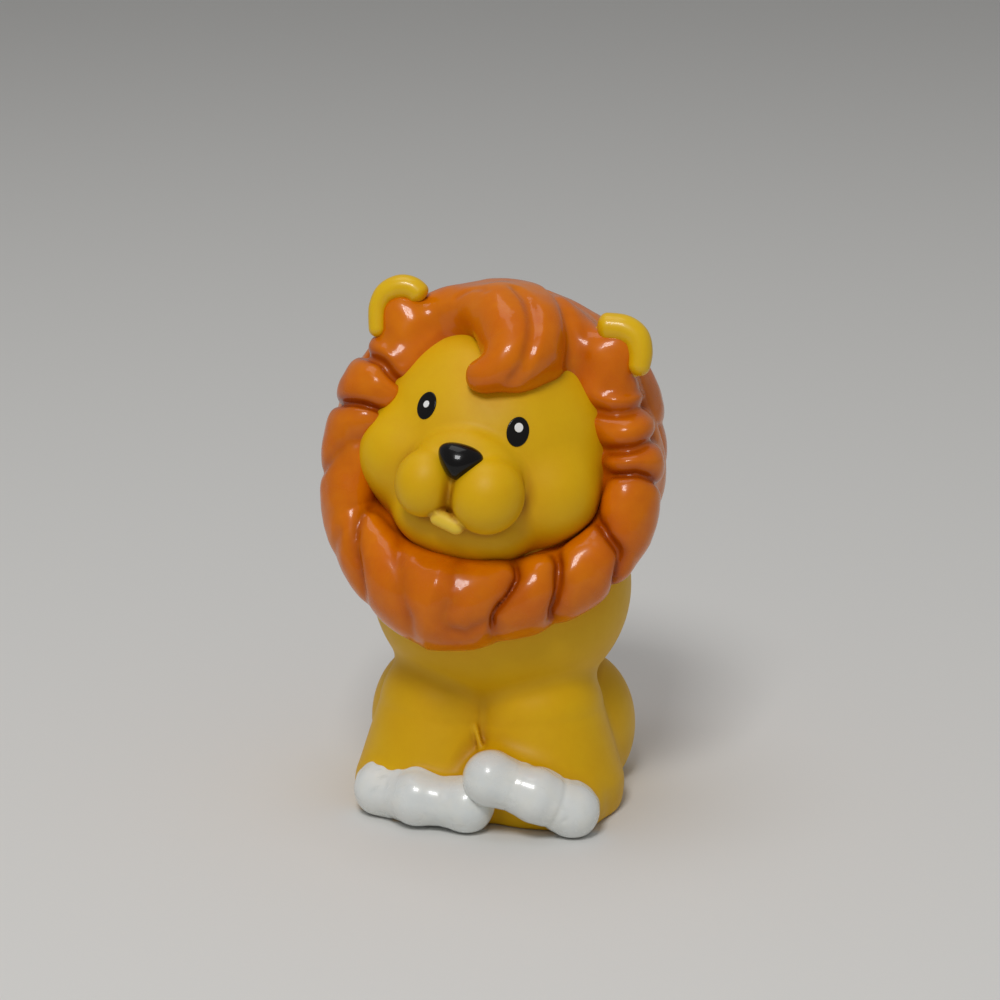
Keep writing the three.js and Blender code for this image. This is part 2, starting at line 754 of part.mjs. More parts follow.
const tailPlace = ({ across, up }, radius) => {
  const start = at(across * chestHalfWidth, 0, up * maneFoot);
  const back = at(0, 1, 0);
  return start.addScaledVector(back, reachOf(torso, start, back, torsoReach) + radius / 2);
};

const tailStations = tailShares.map((share) => ({
  place: tailPlace(share, tailRadius),
  radius: share.thick * tailRadius,
}));

const tuftShares = [
  { along: 0, across: 0, thick: 0.55 },
  { along: 0.3, across: -0.06, thick: 0.95 },
  { along: 0.6, across: -0.12, thick: 1 },
  { along: 1, across: -0.2, thick: 0.4 },
];

function tuftStations() {
  const end = tailShares[tailShares.length - 1];
  return tuftShares.map(({ along, across, thick }) => {
    const share = { across: end.across + across, up: end.up + (along * tuftLength) / maneFoot };
    return { place: tailPlace(share, tuftRadius), radius: thick * tuftRadius };
  });
}

// Base plug: a flat disc that snaps into the body's underside

const plugHole = plugRadius - plugLedge;
const plugSkirt = plugHole - seatGap;
const plugCeiling = plugThickness + seatGap + plugSeat;

function basePlug() {
  const top = plugCeiling + seatGap + plugBeadHeight;
  const profile = [
    [0, 0],
    [plugRadius, 0],
    [plugRadius, plugThickness],
    [plugSkirt, plugThickness],
    [plugSkirt, plugCeiling + seatGap],
    [plugSkirt + plugBead, plugCeiling + seatGap + plugBeadHeight / 2],
    [plugSkirt, top],
    [plugSkirt - plugWall, top],
    [plugSkirt - plugWall, plugThickness],
    [0, plugThickness],
  ];
  const points = profile.map(([radius, height]) => new THREE.Vector2(radius, height));
  return solid(new THREE.LatheGeometry(points, 36).rotateX(Math.PI / 2));
}

// Pieces that pass through or seat in one another

const seatInTorso = moved(headSolid(seatGap), headToFigure);
const neckBack = -headForward;
const neckTop = headHeight - faceHalfHeight / 2;
const neckBottom = headHeight - faceHalfHeight - wall - neckLipDepth;

function bodyShell() {
  const headWall = moved(headSolid(seatGap + wall, 24, evenRows(12)), headToFigure);
  const hollow = torsoSolid(-wall, 24, 14).subtract(below(plugCeiling)).subtract(headWall);
  const neckHole = post(neckHalfWidth + seatGap, neckHalfDepth + seatGap, plugCeiling, neckTop, neckBack);
  const pawHollows = Object.values(toeShares).map((shares) => pawSolid(shares, seatGap + wall, 8));
  const pockets = Object.values(toeShares).map((shares) => pawSolid(shares, seatGap));
  const counterbore = post(plugRadius + seatGap, plugRadius + seatGap, -overrun, plugThickness + seatGap);
  const plugWay = post(plugHole, plugHole, -overrun, plugCeiling + overrun);
  const open = joined(hollow.subtract(joined(...pawHollows)), neckHole, counterbore, plugWay);
  const shell = torsoSolid(0).subtract(below(0)).subtract(seatInTorso).subtract(open);
  return largest(shell.subtract(joined(...pockets)));
}

function headShell() {
  const underside = moved(headSolid(wall + 2 * seatGap, 24, evenRows(12)), headToFigure);
  const lip = post(neckHalfWidth + neckLip, neckHalfDepth + neckLip, neckBottom, neckTop, neckBack);
  const spigot = post(neckHalfWidth, neckHalfDepth, neckBottom, neckTop, neckBack).add(
    lip.subtract(underside),
  );
  const bore = post(neckHalfWidth - wall, neckHalfDepth - wall, neckBottom - overrun, neckTop, neckBack);
  const noseWall = noseSolid(seatGap + wall);
  const hollow = headSolid(-wall, 24, evenRows(12)).subtract(noseWall);
  const outer = headSolid(0).add(moved(spigot, figureToHead));
  const pockets = joined(noseSolid(seatGap), ...eyeShares.map((share) => eyeSolid(share, seatGap)));
  return largest(outer.subtract(hollow).subtract(moved(bore, figureToHead)).subtract(pockets));
}

const maneRows = packedRows([
  { at: 0 },
  { at: 0.27, rows: 1 },
  { at: 0.6, rows: 15 },
  { at: 0.97, rows: 13 },
]);

const mane = maneShape();

function maneSolid(by, columns = 120, rows = maneRows) {
  return solid(skin(grow(mane, by), origin, maneReach, columns, rows));
}

function hoodSolid() {
  const neckWay = moved(torsoSolid(seatGap), figureToHead);
  return largest(maneSolid(0).subtract(headSolid(seatGap)).subtract(neckWay));
}

const clearOfMane = maneSolid(seatGap);
const clearOfFace = headSolid(seatGap);
const clearOfBack = torsoSolid(seatGap);

function tailSolid() {
  const tuft = solid(tube(thicker(tuftStations(), seatGap), 8, 8));
  return largest(solid(tube(tailStations, 12, 8)).subtract(clearOfBack).subtract(tuft));
}

function tuftSolid() {
  const clearOfHood = moved(clearOfMane, headToFigure);
  return largest(solid(tube(tuftStations(), 8, 10)).subtract(clearOfBack).subtract(clearOfHood));
}

// The assembly

const figure = new THREE.Group();
figure.name = "lion_figure";
const head = new THREE.Group();
head.name = "head";
headToFigure.decompose(head.position, head.quaternion, head.scale);
figure.add(head);

function addPiece(parent, name, material, made) {
  const mesh = new THREE.Mesh(geometryOf(made), materials[material]);
  mesh.name = name;
  parent.add(mesh);
}

addPiece(figure, "body_shell", "vinyl", bodyShell());
addPiece(figure, "base_plug", "plug", basePlug());
const crossingPaw = pawSolid(toeShares.paw_right, seatGap);
const leftPaw = pawSolid(toeShares.paw_left, 0).subtract(crossingPaw);
addPiece(figure, "paw_left", "white", largest(leftPaw));
addPiece(figure, "paw_right", "white", pawSolid(toeShares.paw_right, 0));
addPiece(figure, "tail", "vinyl", tailSolid());
addPiece(figure, "tail_tuft", "mane", tuftSolid());
addPiece(head, "head_shell", "vinyl", headShell());
addPiece(head, "mane", "mane", hoodSolid());
const forelock = forelockSolid().subtract(clearOfFace).subtract(clearOfMane);
addPiece(head, "forelock", "mane", largest(forelock));
for (const share of earShares) {
  addPiece(head, share.name, "ear", largest(earSolid(share).subtract(clearOfMane)));
}
addPiece(head, "nose", "black", noseSolid(0));
for (const share of eyeShares) addPiece(head, share.name, "black", eyeSolid(share, 0));

export default figure;
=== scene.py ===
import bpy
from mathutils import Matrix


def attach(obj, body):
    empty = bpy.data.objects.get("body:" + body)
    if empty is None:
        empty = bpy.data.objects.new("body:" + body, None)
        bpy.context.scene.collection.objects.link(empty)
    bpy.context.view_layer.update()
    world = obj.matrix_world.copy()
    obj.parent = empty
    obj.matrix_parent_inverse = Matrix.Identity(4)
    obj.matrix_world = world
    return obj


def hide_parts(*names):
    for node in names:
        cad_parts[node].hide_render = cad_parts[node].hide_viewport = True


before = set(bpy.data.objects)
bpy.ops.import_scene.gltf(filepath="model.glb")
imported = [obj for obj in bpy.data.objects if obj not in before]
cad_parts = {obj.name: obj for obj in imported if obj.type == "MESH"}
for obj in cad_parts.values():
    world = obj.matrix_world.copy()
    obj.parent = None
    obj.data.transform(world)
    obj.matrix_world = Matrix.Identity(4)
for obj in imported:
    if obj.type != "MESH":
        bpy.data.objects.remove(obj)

"""Toy lion figure: a soft-vinyl body and face, with glossy paint on its mane, toes, nose and eyes.

Shapes are distance fields in millimetres, drawn as smooth closed meshes and scaled to metres.
+Z is up, the lion faces -Y, and left is -X, as seen from the front.
"""
import logging
import math
from dataclasses import dataclass, field
from enum import Enum
from typing import Callable, Iterable, Sequence

import bpy
import numpy as np
from mathutils import Matrix, Vector

LOG = logging.getLogger("toy_lion")
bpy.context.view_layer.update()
BODY = "root"
MM = 0.001
FAR = 60.0
CULL_MARGIN = 4.0
CHUNK = 150000
FACE_HALF = (15.9, 14.5, 16.0)
MANE_RADIUS = 21.3
CHEST_HALF_WIDTH = 16.7

Array = np.ndarray
Field = Callable[[Array], Array]
Triple = tuple[float, float, float]
Inputs = dict[str | int, object]
Socket = bpy.types.NodeSocket


class Slot(Enum):
    """The record's material slots."""

    VINYL = "yellow_vinyl"
    MANE = "mane_orange"
    EAR = "ear_yellow"
    WHITE = "toe_white"
    BLACK = "face_black"
    PLUG = "plug_yellow"


# Distance fields


def ellipsoid(middle: Sequence[float], radii: Sequence[float]) -> Field:
    """Makes the field of an ellipsoid.

    Args:
        middle: Its centre.
        radii: Its half sizes along X, Y and Z.

    Returns:
        The field.
    """
    centre, half = np.asarray(middle, float), np.asarray(radii, float)

    def distance(points: Array) -> Array:
        """Gives each point's distance from the surface."""
        offset = (points - centre) / half
        near = np.linalg.norm(offset, axis=1)
        steep = np.linalg.norm(offset / half, axis=1)
        outer = near * (near - 1) / np.maximum(steep, 1e-9)
        return np.where(steep < 1e-6, -half.min(), outer)

    return distance


def rod(places: Sequence[Sequence[float]], radii: Sequence[float]) -> Field:
    """Makes the field of a rod through places, with a radius at each.

    Args:
        places: The points that the rod runs through.
        radii: Its radius at each point.

    Returns:
        The field, which is only rough far from the rod.
    """
    stops, thick = np.asarray(places, float), np.asarray(radii, float)
    low = (stops - thick[:, None]).min(axis=0) - CULL_MARGIN
    high = (stops + thick[:, None]).max(axis=0) + CULL_MARGIN

    def distance(points: Array) -> Array:
        """Gives each point's distance from the surface."""
        result = np.full(len(points), FAR)
        near = np.all((points > low) & (points < high), axis=1)
        chosen = points[near]
        nearest = np.full(len(chosen), FAR)
        for i in range(len(stops) - 1):
            along = stops[i + 1] - stops[i]
            offset = chosen - stops[i]
            share = np.clip(offset @ along / (along @ along), 0, 1)
            radius = thick[i] + (thick[i + 1] - thick[i]) * share
            gap = np.linalg.norm(offset - share[:, None] * along, axis=1) - radius
            nearest = np.minimum(nearest, gap)
        result[near] = nearest
        return result

    return distance


def blend(reach: float, *fields: Field) -> Field:
    """Joins fields with a fillet of about the given reach."""

    def distance(points: Array) -> Array:
        """Gives each point's distance from the joined surface."""
        result = fields[0](points)
        for other in fields[1:]:
            value = other(points)
            overlap = np.maximum(reach - np.abs(result - value), 0) / reach
            result = np.minimum(result, value) - overlap * overlap * reach / 4
        return result

    return distance


def furrowed(reach: float, depth: float, width: float, *fields: Field) -> Field:
    """Joins fields with a fillet, and draws a narrow groove where they meet.

    Args:
        reach: The fillet's reach.
        depth: The groove's depth.
        width: About half the groove's width.
        *fields: The fields.

    Returns:
        The joined field.
    """

    def distance(points: Array) -> Array:
        """Gives each point's distance from the joined surface."""
        result = fields[0](points)
        for other in fields[1:]:
            value = other(points)
            apart = np.abs(result - value)
            overlap = np.maximum(reach - apart, 0) / reach
            groove = depth * np.exp(-((apart / width) ** 2))
            result = np.minimum(result, value) - overlap * overlap * reach / 4 + groove
        return result

    return distance


def overlap_of(reach: float, *fields: Field) -> Field:
    """Keeps what fields share, with its edges rounded by about the given reach."""
    turned = blend(reach, *(inverse(shape) for shape in fields))
    return inverse(turned)


def inverse(shape: Field) -> Field:
    """Turns a field inside out."""
    return lambda points: -shape(points)


def grown(shape: Field, by: float) -> Field:
    """Moves a field's surface outwards."""
    return lambda points: shape(points) - by


def above(height: float) -> Field:
    """Makes the field of everything above a height."""
    return lambda points: height - points[:, 2]


def column(radius: float, top: float) -> Field:
    """Makes the field of an upright column on the Z axis that ends at a height."""
    return lambda points: np.maximum(np.hypot(points[:, 0], points[:, 1]) - radius, points[:, 2] - top)


def wavy(shape: Field, size: float, depth: float, turn: float = 0.0) -> Field:
    """Makes a field's surface gently uneven.

    Args:
        shape: The field.
        size: The length of its waves.
        depth: How far they reach.
        turn: Shifts the waves, so that no two pieces are alike.

    Returns:
        The uneven field.
    """

    def distance(points: Array) -> Array:
        """Gives each point's distance from the uneven surface."""
        x, y, z = (points * (2 * math.pi / size)).T
        wave = np.sin(x + 1.7 * np.sin(0.6 * z + turn)) * np.sin(0.8 * y + turn)
        wave *= np.sin(0.9 * z + 1.3 * turn)
        wave += 0.5 * np.sin(1.9 * x + 2.3 * turn) * np.sin(2.1 * z - turn) * np.cos(1.7 * y)
        return shape(points) - depth * wave

    return distance


def eased(share: Array) -> Array:
    """Runs a share smoothly from 0 to 1."""
    held = np.clip(share, 0, 1)
    return held * held * (3 - 2 * held)


def smooth_path(places: Sequence[Sequence[float]], parts: int) -> Array:
    """Runs a smooth curve through rows of numbers.

    Args:
        places: The rows to pass through.
        parts: How many steps to take from each row to the next.

    Returns:
        The rows along the curve.
    """
    rows = np.asarray(places, float)
    ends = np.vstack([2 * rows[0] - rows[1], rows, 2 * rows[-1] - rows[-2]])
    path = []
    for i in range(1, len(ends) - 2):
        before, start, end, after = ends[i - 1 : i + 3]
        for step in range(parts):
            t = step / parts
            square = (2 * before - 5 * start + 4 * end - after) * t * t
            cube = (3 * start - before - 3 * end + after) * t**3
            path.append(0.5 * (2 * start + (end - before) * t + square + cube))
    path.append(rows[-1])
    return np.array(path)


# Meshes from fields


@dataclass
class Sculpt:
    """Draws a field's surface as a closed mesh of small quads.

    Attributes:
        shape: The field.
        low: The lowest corner of the space that holds the surface.
        high: The highest corner of that space.
        step: The size of the quads.
        passes: How often the quads are evened out.
        block: How many steps the blocks of the first rough look have on a side.
    """

    shape: Field
    low: Sequence[float]
    high: Sequence[float]
    step: float
    passes: int = 3
    block: int = 4

    def sample(self) -> Array:
        """Measures the field on a grid, closely only near its surface."""
        low, size = np.asarray(self.low, float), np.subtract(self.high, self.low)
        span = self.block * self.step
        blocks = np.ceil(size / span).astype(int)
        spots = np.stack(np.meshgrid(*(np.arange(n) for n in blocks), indexing="ij"), -1).reshape(-1, 3)
        rough = self.shape(low + (spots + 0.5) * span - self.step / 2).reshape(blocks)
        values = rough.repeat(self.block, 0).repeat(self.block, 1).repeat(self.block, 2)
        near = np.abs(values) < span * 1.3 + 0.4
        places = np.argwhere(near)
        close = np.empty(len(places))
        for start in range(0, len(places), CHUNK):
            chunk = places[start : start + CHUNK]
            close[start : start + CHUNK] = self.shape(low + chunk * self.step)
        values[near] = close
        return values

    def net(self, values: Array) -> tuple[Array, Array]:
        """Finds a vertex for each crossed cell and a quad for each crossed edge.

        Args:
            values: The field on the grid.

        Returns:
            The vertices in millimetres and the quads.
        """
        shape = np.array(values.shape)
        cells = shape - 1
        total = np.zeros((cells.prod(), 3))
        count = np.zeros(cells.prod())
        edges = []
        for axis in range(3):
            first = values[tuple(slice(0, -1) if a == axis else slice(None) for a in range(3))]
            second = values[tuple(slice(1, None) if a == axis else slice(None) for a in range(3))]
            crossed = np.argwhere((first < 0) != (second < 0))
            start, end = first[tuple(crossed.T)], second[tuple(crossed.T)]
            place = crossed.astype(float)
            place[:, axis] += start / (start - end)
            u, v = (axis + 1) % 3, (axis + 2) % 3
            corners = []
            for back in ((0, 0), (1, 0), (1, 1), (0, 1)):
                cell = crossed.copy()
                cell[:, u] -= back[0]
                cell[:, v] -= back[1]
                corners.append(np.ravel_multi_index(cell.T, cells, mode="clip"))
                for a in range(3):
                    total[:, a] += np.bincount(corners[-1], place[:, a], cells.prod())
                count += np.bincount(corners[-1], minlength=cells.prod())
            quads = np.stack(corners, 1)
            turned = start < 0
            quads[~turned] = quads[~turned][:, ::-1]
            edges.append(quads)
        used = np.flatnonzero(count)
        number = np.full(cells.prod(), -1)
        number[used] = np.arange(len(used))
        vertices = np.asarray(self.low) + total[used] / count[used, None] * self.step
        return vertices, number[np.concatenate(edges)]

    def slope(self, points: Array) -> tuple[Array, Array]:
        """Measures the field and its steepest direction at points."""
        corners = np.array([(1, 1, 1), (1, -1, -1), (-1, 1, -1), (-1, -1, 1)], float)
        reach = 0.03
        values = [self.shape(points + corner * reach) for corner in corners]
        gradient = sum(value[:, None] * corner for value, corner in zip(values, corners)) / (4 * reach)
        return sum(values) / 4, gradient

    def pull(self, points: Array) -> tuple[Array, Array]:
        """Moves points onto the surface, and gives their outward directions too."""
        value, gradient = self.slope(points)
        length = np.maximum(np.linalg.norm(gradient, axis=1), 0.3)
        move = np.clip(value / length, -self.step, self.step)
        normal = gradient / length[:, None]
        return points - move[:, None] * normal, normal

    def even_out(self, points: Array, quads: Array) -> tuple[Array, Array]:
        """Spreads the vertices evenly over the surface."""
        pairs = np.concatenate([quads[:, [i, (i + 1) % 4]] for i in range(4)])
        start, end = np.concatenate([pairs, pairs[:, ::-1]]).T
        count = np.bincount(start, minlength=len(points))[:, None]
        points, normal = self.pull(points)
        for _ in range(self.passes):
            total = [np.bincount(start, points[end, axis], len(points)) for axis in range(3)]
            shift = np.stack(total, 1) / count - points
            shift -= (shift * normal).sum(axis=1)[:, None] * normal
            points, normal = self.pull(points + 0.6 * shift)
        return points, normal

    def shelter(self, points: Array, normal: Array) -> tuple[Array, Array]:
        """Measures how deep in creases, and how far out on ridges, each vertex lies; the first measure
        sets painted shade in creases.
        """
        crease = np.zeros(len(points))
        ridge = np.zeros(len(points))
        for reach in (0.5, 1.1, 2.2):
            crease += np.clip(1 - self.shape(points + normal * reach) / reach, 0, 1) / 3
            ridge += np.clip(1 + self.shape(points - normal * reach) / reach, 0, 1) / 3
        return crease, ridge

    def build(self, name: str) -> bpy.types.Object:
        """Makes the mesh object.

        Args:
            name: The piece's name.

        Returns:
            The object, at the origin and in metres.
        """
        points, quads = self.net(self.sample())
        points, normal = self.even_out(points, quads)
        crease, ridge = self.shelter(points, normal)
        mesh = bpy.data.meshes.new(name)
        mesh.from_pydata((points * MM).tolist(), [], quads.tolist())
        mesh.update()
        mesh.shade_smooth()
        # The first measure sets the painted shade that darkens the finishes' creases.
        write(mesh, "crease", crease)
        write(mesh, "ridge", ridge)
        made = bpy.data.objects.new(name, mesh)
        bpy.context.scene.collection.objects.link(made)
        return made


def write(mesh: bpy.types.Mesh, label: str, values: Sequence[float]) -> None:
    """Writes a number on each vertex of a mesh."""
    attribute = mesh.attributes.new(label, "FLOAT", "POINT")
    attribute.data.foreach_set("value", np.asarray(values, np.float32))


def settled(places: Sequence[Sequence[float]], shape: Field, step: float, pulls: int) -> Array:
    """Lays places on a field's surface.

    Args:
        places: The places.
        shape: The field.
        step: The longest move of one pull.
        pulls: How many pulls to make.

    Returns:
        The places on the surface.
    """
    surface, points = Sculpt(shape, (0, 0, 0), (0, 0, 0), step), np.array(places)
    for _ in range(pulls):
        points, _ = surface.pull(points)
    return points


def mark(made: bpy.types.Object, label: str, shape: Field, soft: float) -> None:
    """Writes how far inside a field each vertex of a piece lies, from 0 outside to 1.

    Args:
        made: The piece.
        label: The attribute's name.
        shape: The field.
        soft: The width of the change, in millimetres.
    """
    mesh = made.data
    points = np.empty(len(mesh.vertices) * 3, np.float32)
    mesh.vertices.foreach_get("co", points)
    write(mesh, label, np.clip(0.5 - shape(points.reshape(-1, 3).astype(float) / MM) / soft, 0, 1))


# Node trees


@dataclass
class Wiring:
    """Adds nodes to a tree and joins them.

    Attributes:
        tree: The node tree.
    """

    tree: bpy.types.NodeTree

    def add(self, kind: str, inputs: Inputs | None = None, **settings: object) -> bpy.types.Node:
        """Adds a node.

        Args:
            kind: The node's type name.
            inputs: Values or sockets for its inputs, by name or number.
            **settings: Values for its own settings.

        Returns:
            The node.
        """
        node = self.tree.nodes.new(kind)
        for key, value in settings.items():
            setattr(node, key, value)
        for key, value in (inputs or {}).items():
            if isinstance(value, Socket):
                self.tree.links.new(value, node.inputs[key])
            else:
                node.inputs[key].default_value = value
        return node

    def maths(self, operation: str, *values: object) -> Socket:
        """Adds a Math node and gives its result."""
        node = self.add("ShaderNodeMath", dict(enumerate(values)), operation=operation)
        return node.outputs[0]

    def mix(self, share: object, first: object, second: object, kind: str = "MIX") -> Socket:
        """Mixes two colours and gives the result."""
        inputs = {0: share, 6: first, 7: second}
        return self.add("ShaderNodeMix", inputs, data_type="RGBA", blend_type=kind).outputs[2]

    def spread(
        self, value: object, low: float, high: float, start: float = 0, end: float = 1
    ) -> Socket:
        """Stretches a range of values to another, and holds it there."""
        node = self.add("ShaderNodeMapRange", {0: value, 1: low, 2: high, 3: start, 4: end})
        return node.outputs[0]


def new_group(
    name: str, kind: str, inputs: dict[str, tuple[str, object]], outputs: dict[str, str]
) -> Wiring:
    """Starts a node group with named sockets.

    Args:
        name: The group's name.
        kind: The tree's type name.
        inputs: Each input's socket type and starting value.
        outputs: Each output's socket type.

    Returns:
        The group's wiring.
    """
    tree = bpy.data.node_groups.new(name, kind)
    for label, (socket, value) in inputs.items():
        made = tree.interface.new_socket(name=label, in_out="INPUT", socket_type=socket)
        if value is not None:
            made.default_value = value
    for label, socket in outputs.items():
        tree.interface.new_socket(name=label, in_out="OUTPUT", socket_type=socket)
    return Wiring(tree)


NUMBER = "NodeSocketFloat"
COLOUR = "NodeSocketColor"
VECTOR = "NodeSocketVector"
GEOMETRY = "NodeSocketGeometry"
MATERIAL = "NodeSocketMaterial"
GROUP = "ShaderNodeGroup"


class Effects:
    """Shader node groups that the finishes share."""

    def __init__(self) -> None:
        """Builds the groups."""
        self.mottle = self._mottle()
        self.shade_and_wear = self._shade_and_wear()
        self.grain = self._grain()
        self.flecks = self._flecks()

    @staticmethod
    def _cloud(wiring: Wiring, scale: object, detail: float, seed: float) -> Socket:
        """Adds soft noise on the piece's own coordinates."""
        place = wiring.add("ShaderNodeTexCoord").outputs["Object"]
        sized = {"Vector": place, "Scale": scale, "Detail": detail, "W": seed}
        return wiring.add("ShaderNodeTexNoise", sized, noise_dimensions="4D").outputs[0]

    def _mottle(self) -> bpy.types.NodeTree:
        """Builds broad and fine shifts between two colours."""
        white = (COLOUR, (1, 1, 1, 1))
        inputs = {"Colour": white, "Second": white, "Scale": (NUMBER, 120.0)}
        wiring = new_group("mottle", "ShaderNodeTree", inputs, {"Colour": COLOUR, "Cloud": NUMBER})
        entry = wiring.add("NodeGroupInput")
        broad = self._cloud(wiring, entry.outputs["Scale"], 3, 0.3)
        fine = self._cloud(wiring, wiring.maths("MULTIPLY", entry.outputs["Scale"], 7.0), 2, 2.1)
        cloud = wiring.maths("MULTIPLY_ADD", fine, 0.25, wiring.maths("MULTIPLY", broad, 0.75))
        share = wiring.spread(cloud, 0.36, 0.64)
        colour = wiring.mix(share, entry.outputs["Colour"], entry.outputs["Second"])
        wiring.add("NodeGroupOutput", {"Colour": colour, "Cloud": share})
        return wiring.tree

    def _shade_and_wear(self) -> bpy.types.NodeTree:
        """Builds painted shade that darkens creases, and thinner ridges, from the piece's attributes.
        """
        inputs = {
            "Colour": (COLOUR, (1, 1, 1, 1)),
            "Crease Colour": (COLOUR, (0, 0, 0, 1)),
            "Ridge Colour": (COLOUR, (1, 1, 1, 1)),
            "Crease": (NUMBER, 1.0),
            "Ridge": (NUMBER, 0.3),
        }
        outputs = {"Colour": COLOUR, "Crease": NUMBER, "Ridge": NUMBER}
        wiring = new_group("shade_and_wear", "ShaderNodeTree", inputs, outputs)
        entry = wiring.add("NodeGroupInput")
        crease = wiring.add("ShaderNodeAttribute", attribute_name="crease").outputs["Fac"]
        ridge = wiring.add("ShaderNodeAttribute", attribute_name="ridge").outputs["Fac"]
        # Painted shade: the colour darkens where the surface folds in.
        deep = wiring.maths("MULTIPLY", wiring.spread(crease, 0.12, 0.85), entry.outputs["Crease"])
        patchy = wiring.spread(self._cloud(wiring, 420.0, 3, 4.4), 0.42, 0.66)
        thin = wiring.maths("MULTIPLY", wiring.spread(ridge, 0.25, 0.7), patchy)
        thin = wiring.maths("MULTIPLY", thin, entry.outputs["Ridge"])
        colour = wiring.mix(thin, entry.outputs["Colour"], entry.outputs["Ridge Colour"])
        colour = wiring.mix(deep, colour, entry.outputs["Crease Colour"])
        wiring.add("NodeGroupOutput", {"Colour": colour, "Crease": deep, "Ridge": thin})
        return wiring.tree

    def _grain(self) -> bpy.types.NodeTree:
        """Builds the height of a moulded or brushed surface: slow waves under a fine grain."""
        inputs = {"Wave Scale": (NUMBER, 160.0), "Grain Scale": (NUMBER, 2600.0)}
        inputs |= {"Grain": (NUMBER, 0.15)}
        wiring = new_group("grain", "ShaderNodeTree", inputs, {"Height": NUMBER})
        entry = wiring.add("NodeGroupInput")
        waves = self._cloud(wiring, entry.outputs["Wave Scale"], 1, 5.0)
        fine = self._cloud(wiring, entry.outputs["Grain Scale"], 3, 6.0)
        height = wiring.maths("MULTIPLY_ADD", fine, entry.outputs["Grain"], waves)
        wiring.add("NodeGroupOutput", {"Height": height})
        return wiring.tree

    def _flecks(self) -> bpy.types.NodeTree:
        """Builds sparse small specks and short faint scuffs."""
        inputs = {"Scale": (NUMBER, 500.0), "Amount": (NUMBER, 0.3)}
        wiring = new_group("flecks", "ShaderNodeTree", inputs, {"Specks": NUMBER, "Scuffs": NUMBER})
        entry = wiring.add("NodeGroupInput")
        place = wiring.add("ShaderNodeTexCoord").outputs["Object"]
        cells = wiring.add("ShaderNodeTexVoronoi", {"Vector": place, "Scale": entry.outputs["Scale"]})
        chance = wiring.add("ShaderNodeSeparateColor", {0: cells.outputs["Color"]}).outputs[0]
        rare = wiring.maths("MULTIPLY", entry.outputs["Amount"], 0.06)
        chosen = wiring.maths("LESS_THAN", chance, rare)
        dots = wiring.spread(cells.outputs["Distance"], 0.16, 0.08)
        specks = wiring.maths("MULTIPLY", dots, chosen)
        turned = {"Vector": place, "Rotation": (0.3, 0.5, 0.8), "Scale": (1, 5, 1.4)}
        stretched = wiring.add("ShaderNodeMapping", turned).outputs[0]
        scuffs = wiring.add("ShaderNodeTexNoise", {"Vector": stretched, "Scale": 330.0, "Detail": 4.0})
        amount = wiring.maths("MULTIPLY", entry.outputs["Amount"], 0.4)
        faint = wiring.maths("MULTIPLY", wiring.spread(scuffs.outputs[0], 0.62, 0.8), amount)
        wiring.add("NodeGroupOutput", {"Specks": specks, "Scuffs": faint})
        return wiring.tree


# Finishes


def linear(red: int, green: int, blue: int) -> tuple[float, float, float, float]:
    """Turns a colour from 0-255 screen values to the shader's own."""
    parts = [value / 255 for value in (red, green, blue)]
    scaled = [part / 12.92 if part < 0.04045 else ((part + 0.055) / 1.055) ** 2.4 for part in parts]
    return (*scaled, 1.0)


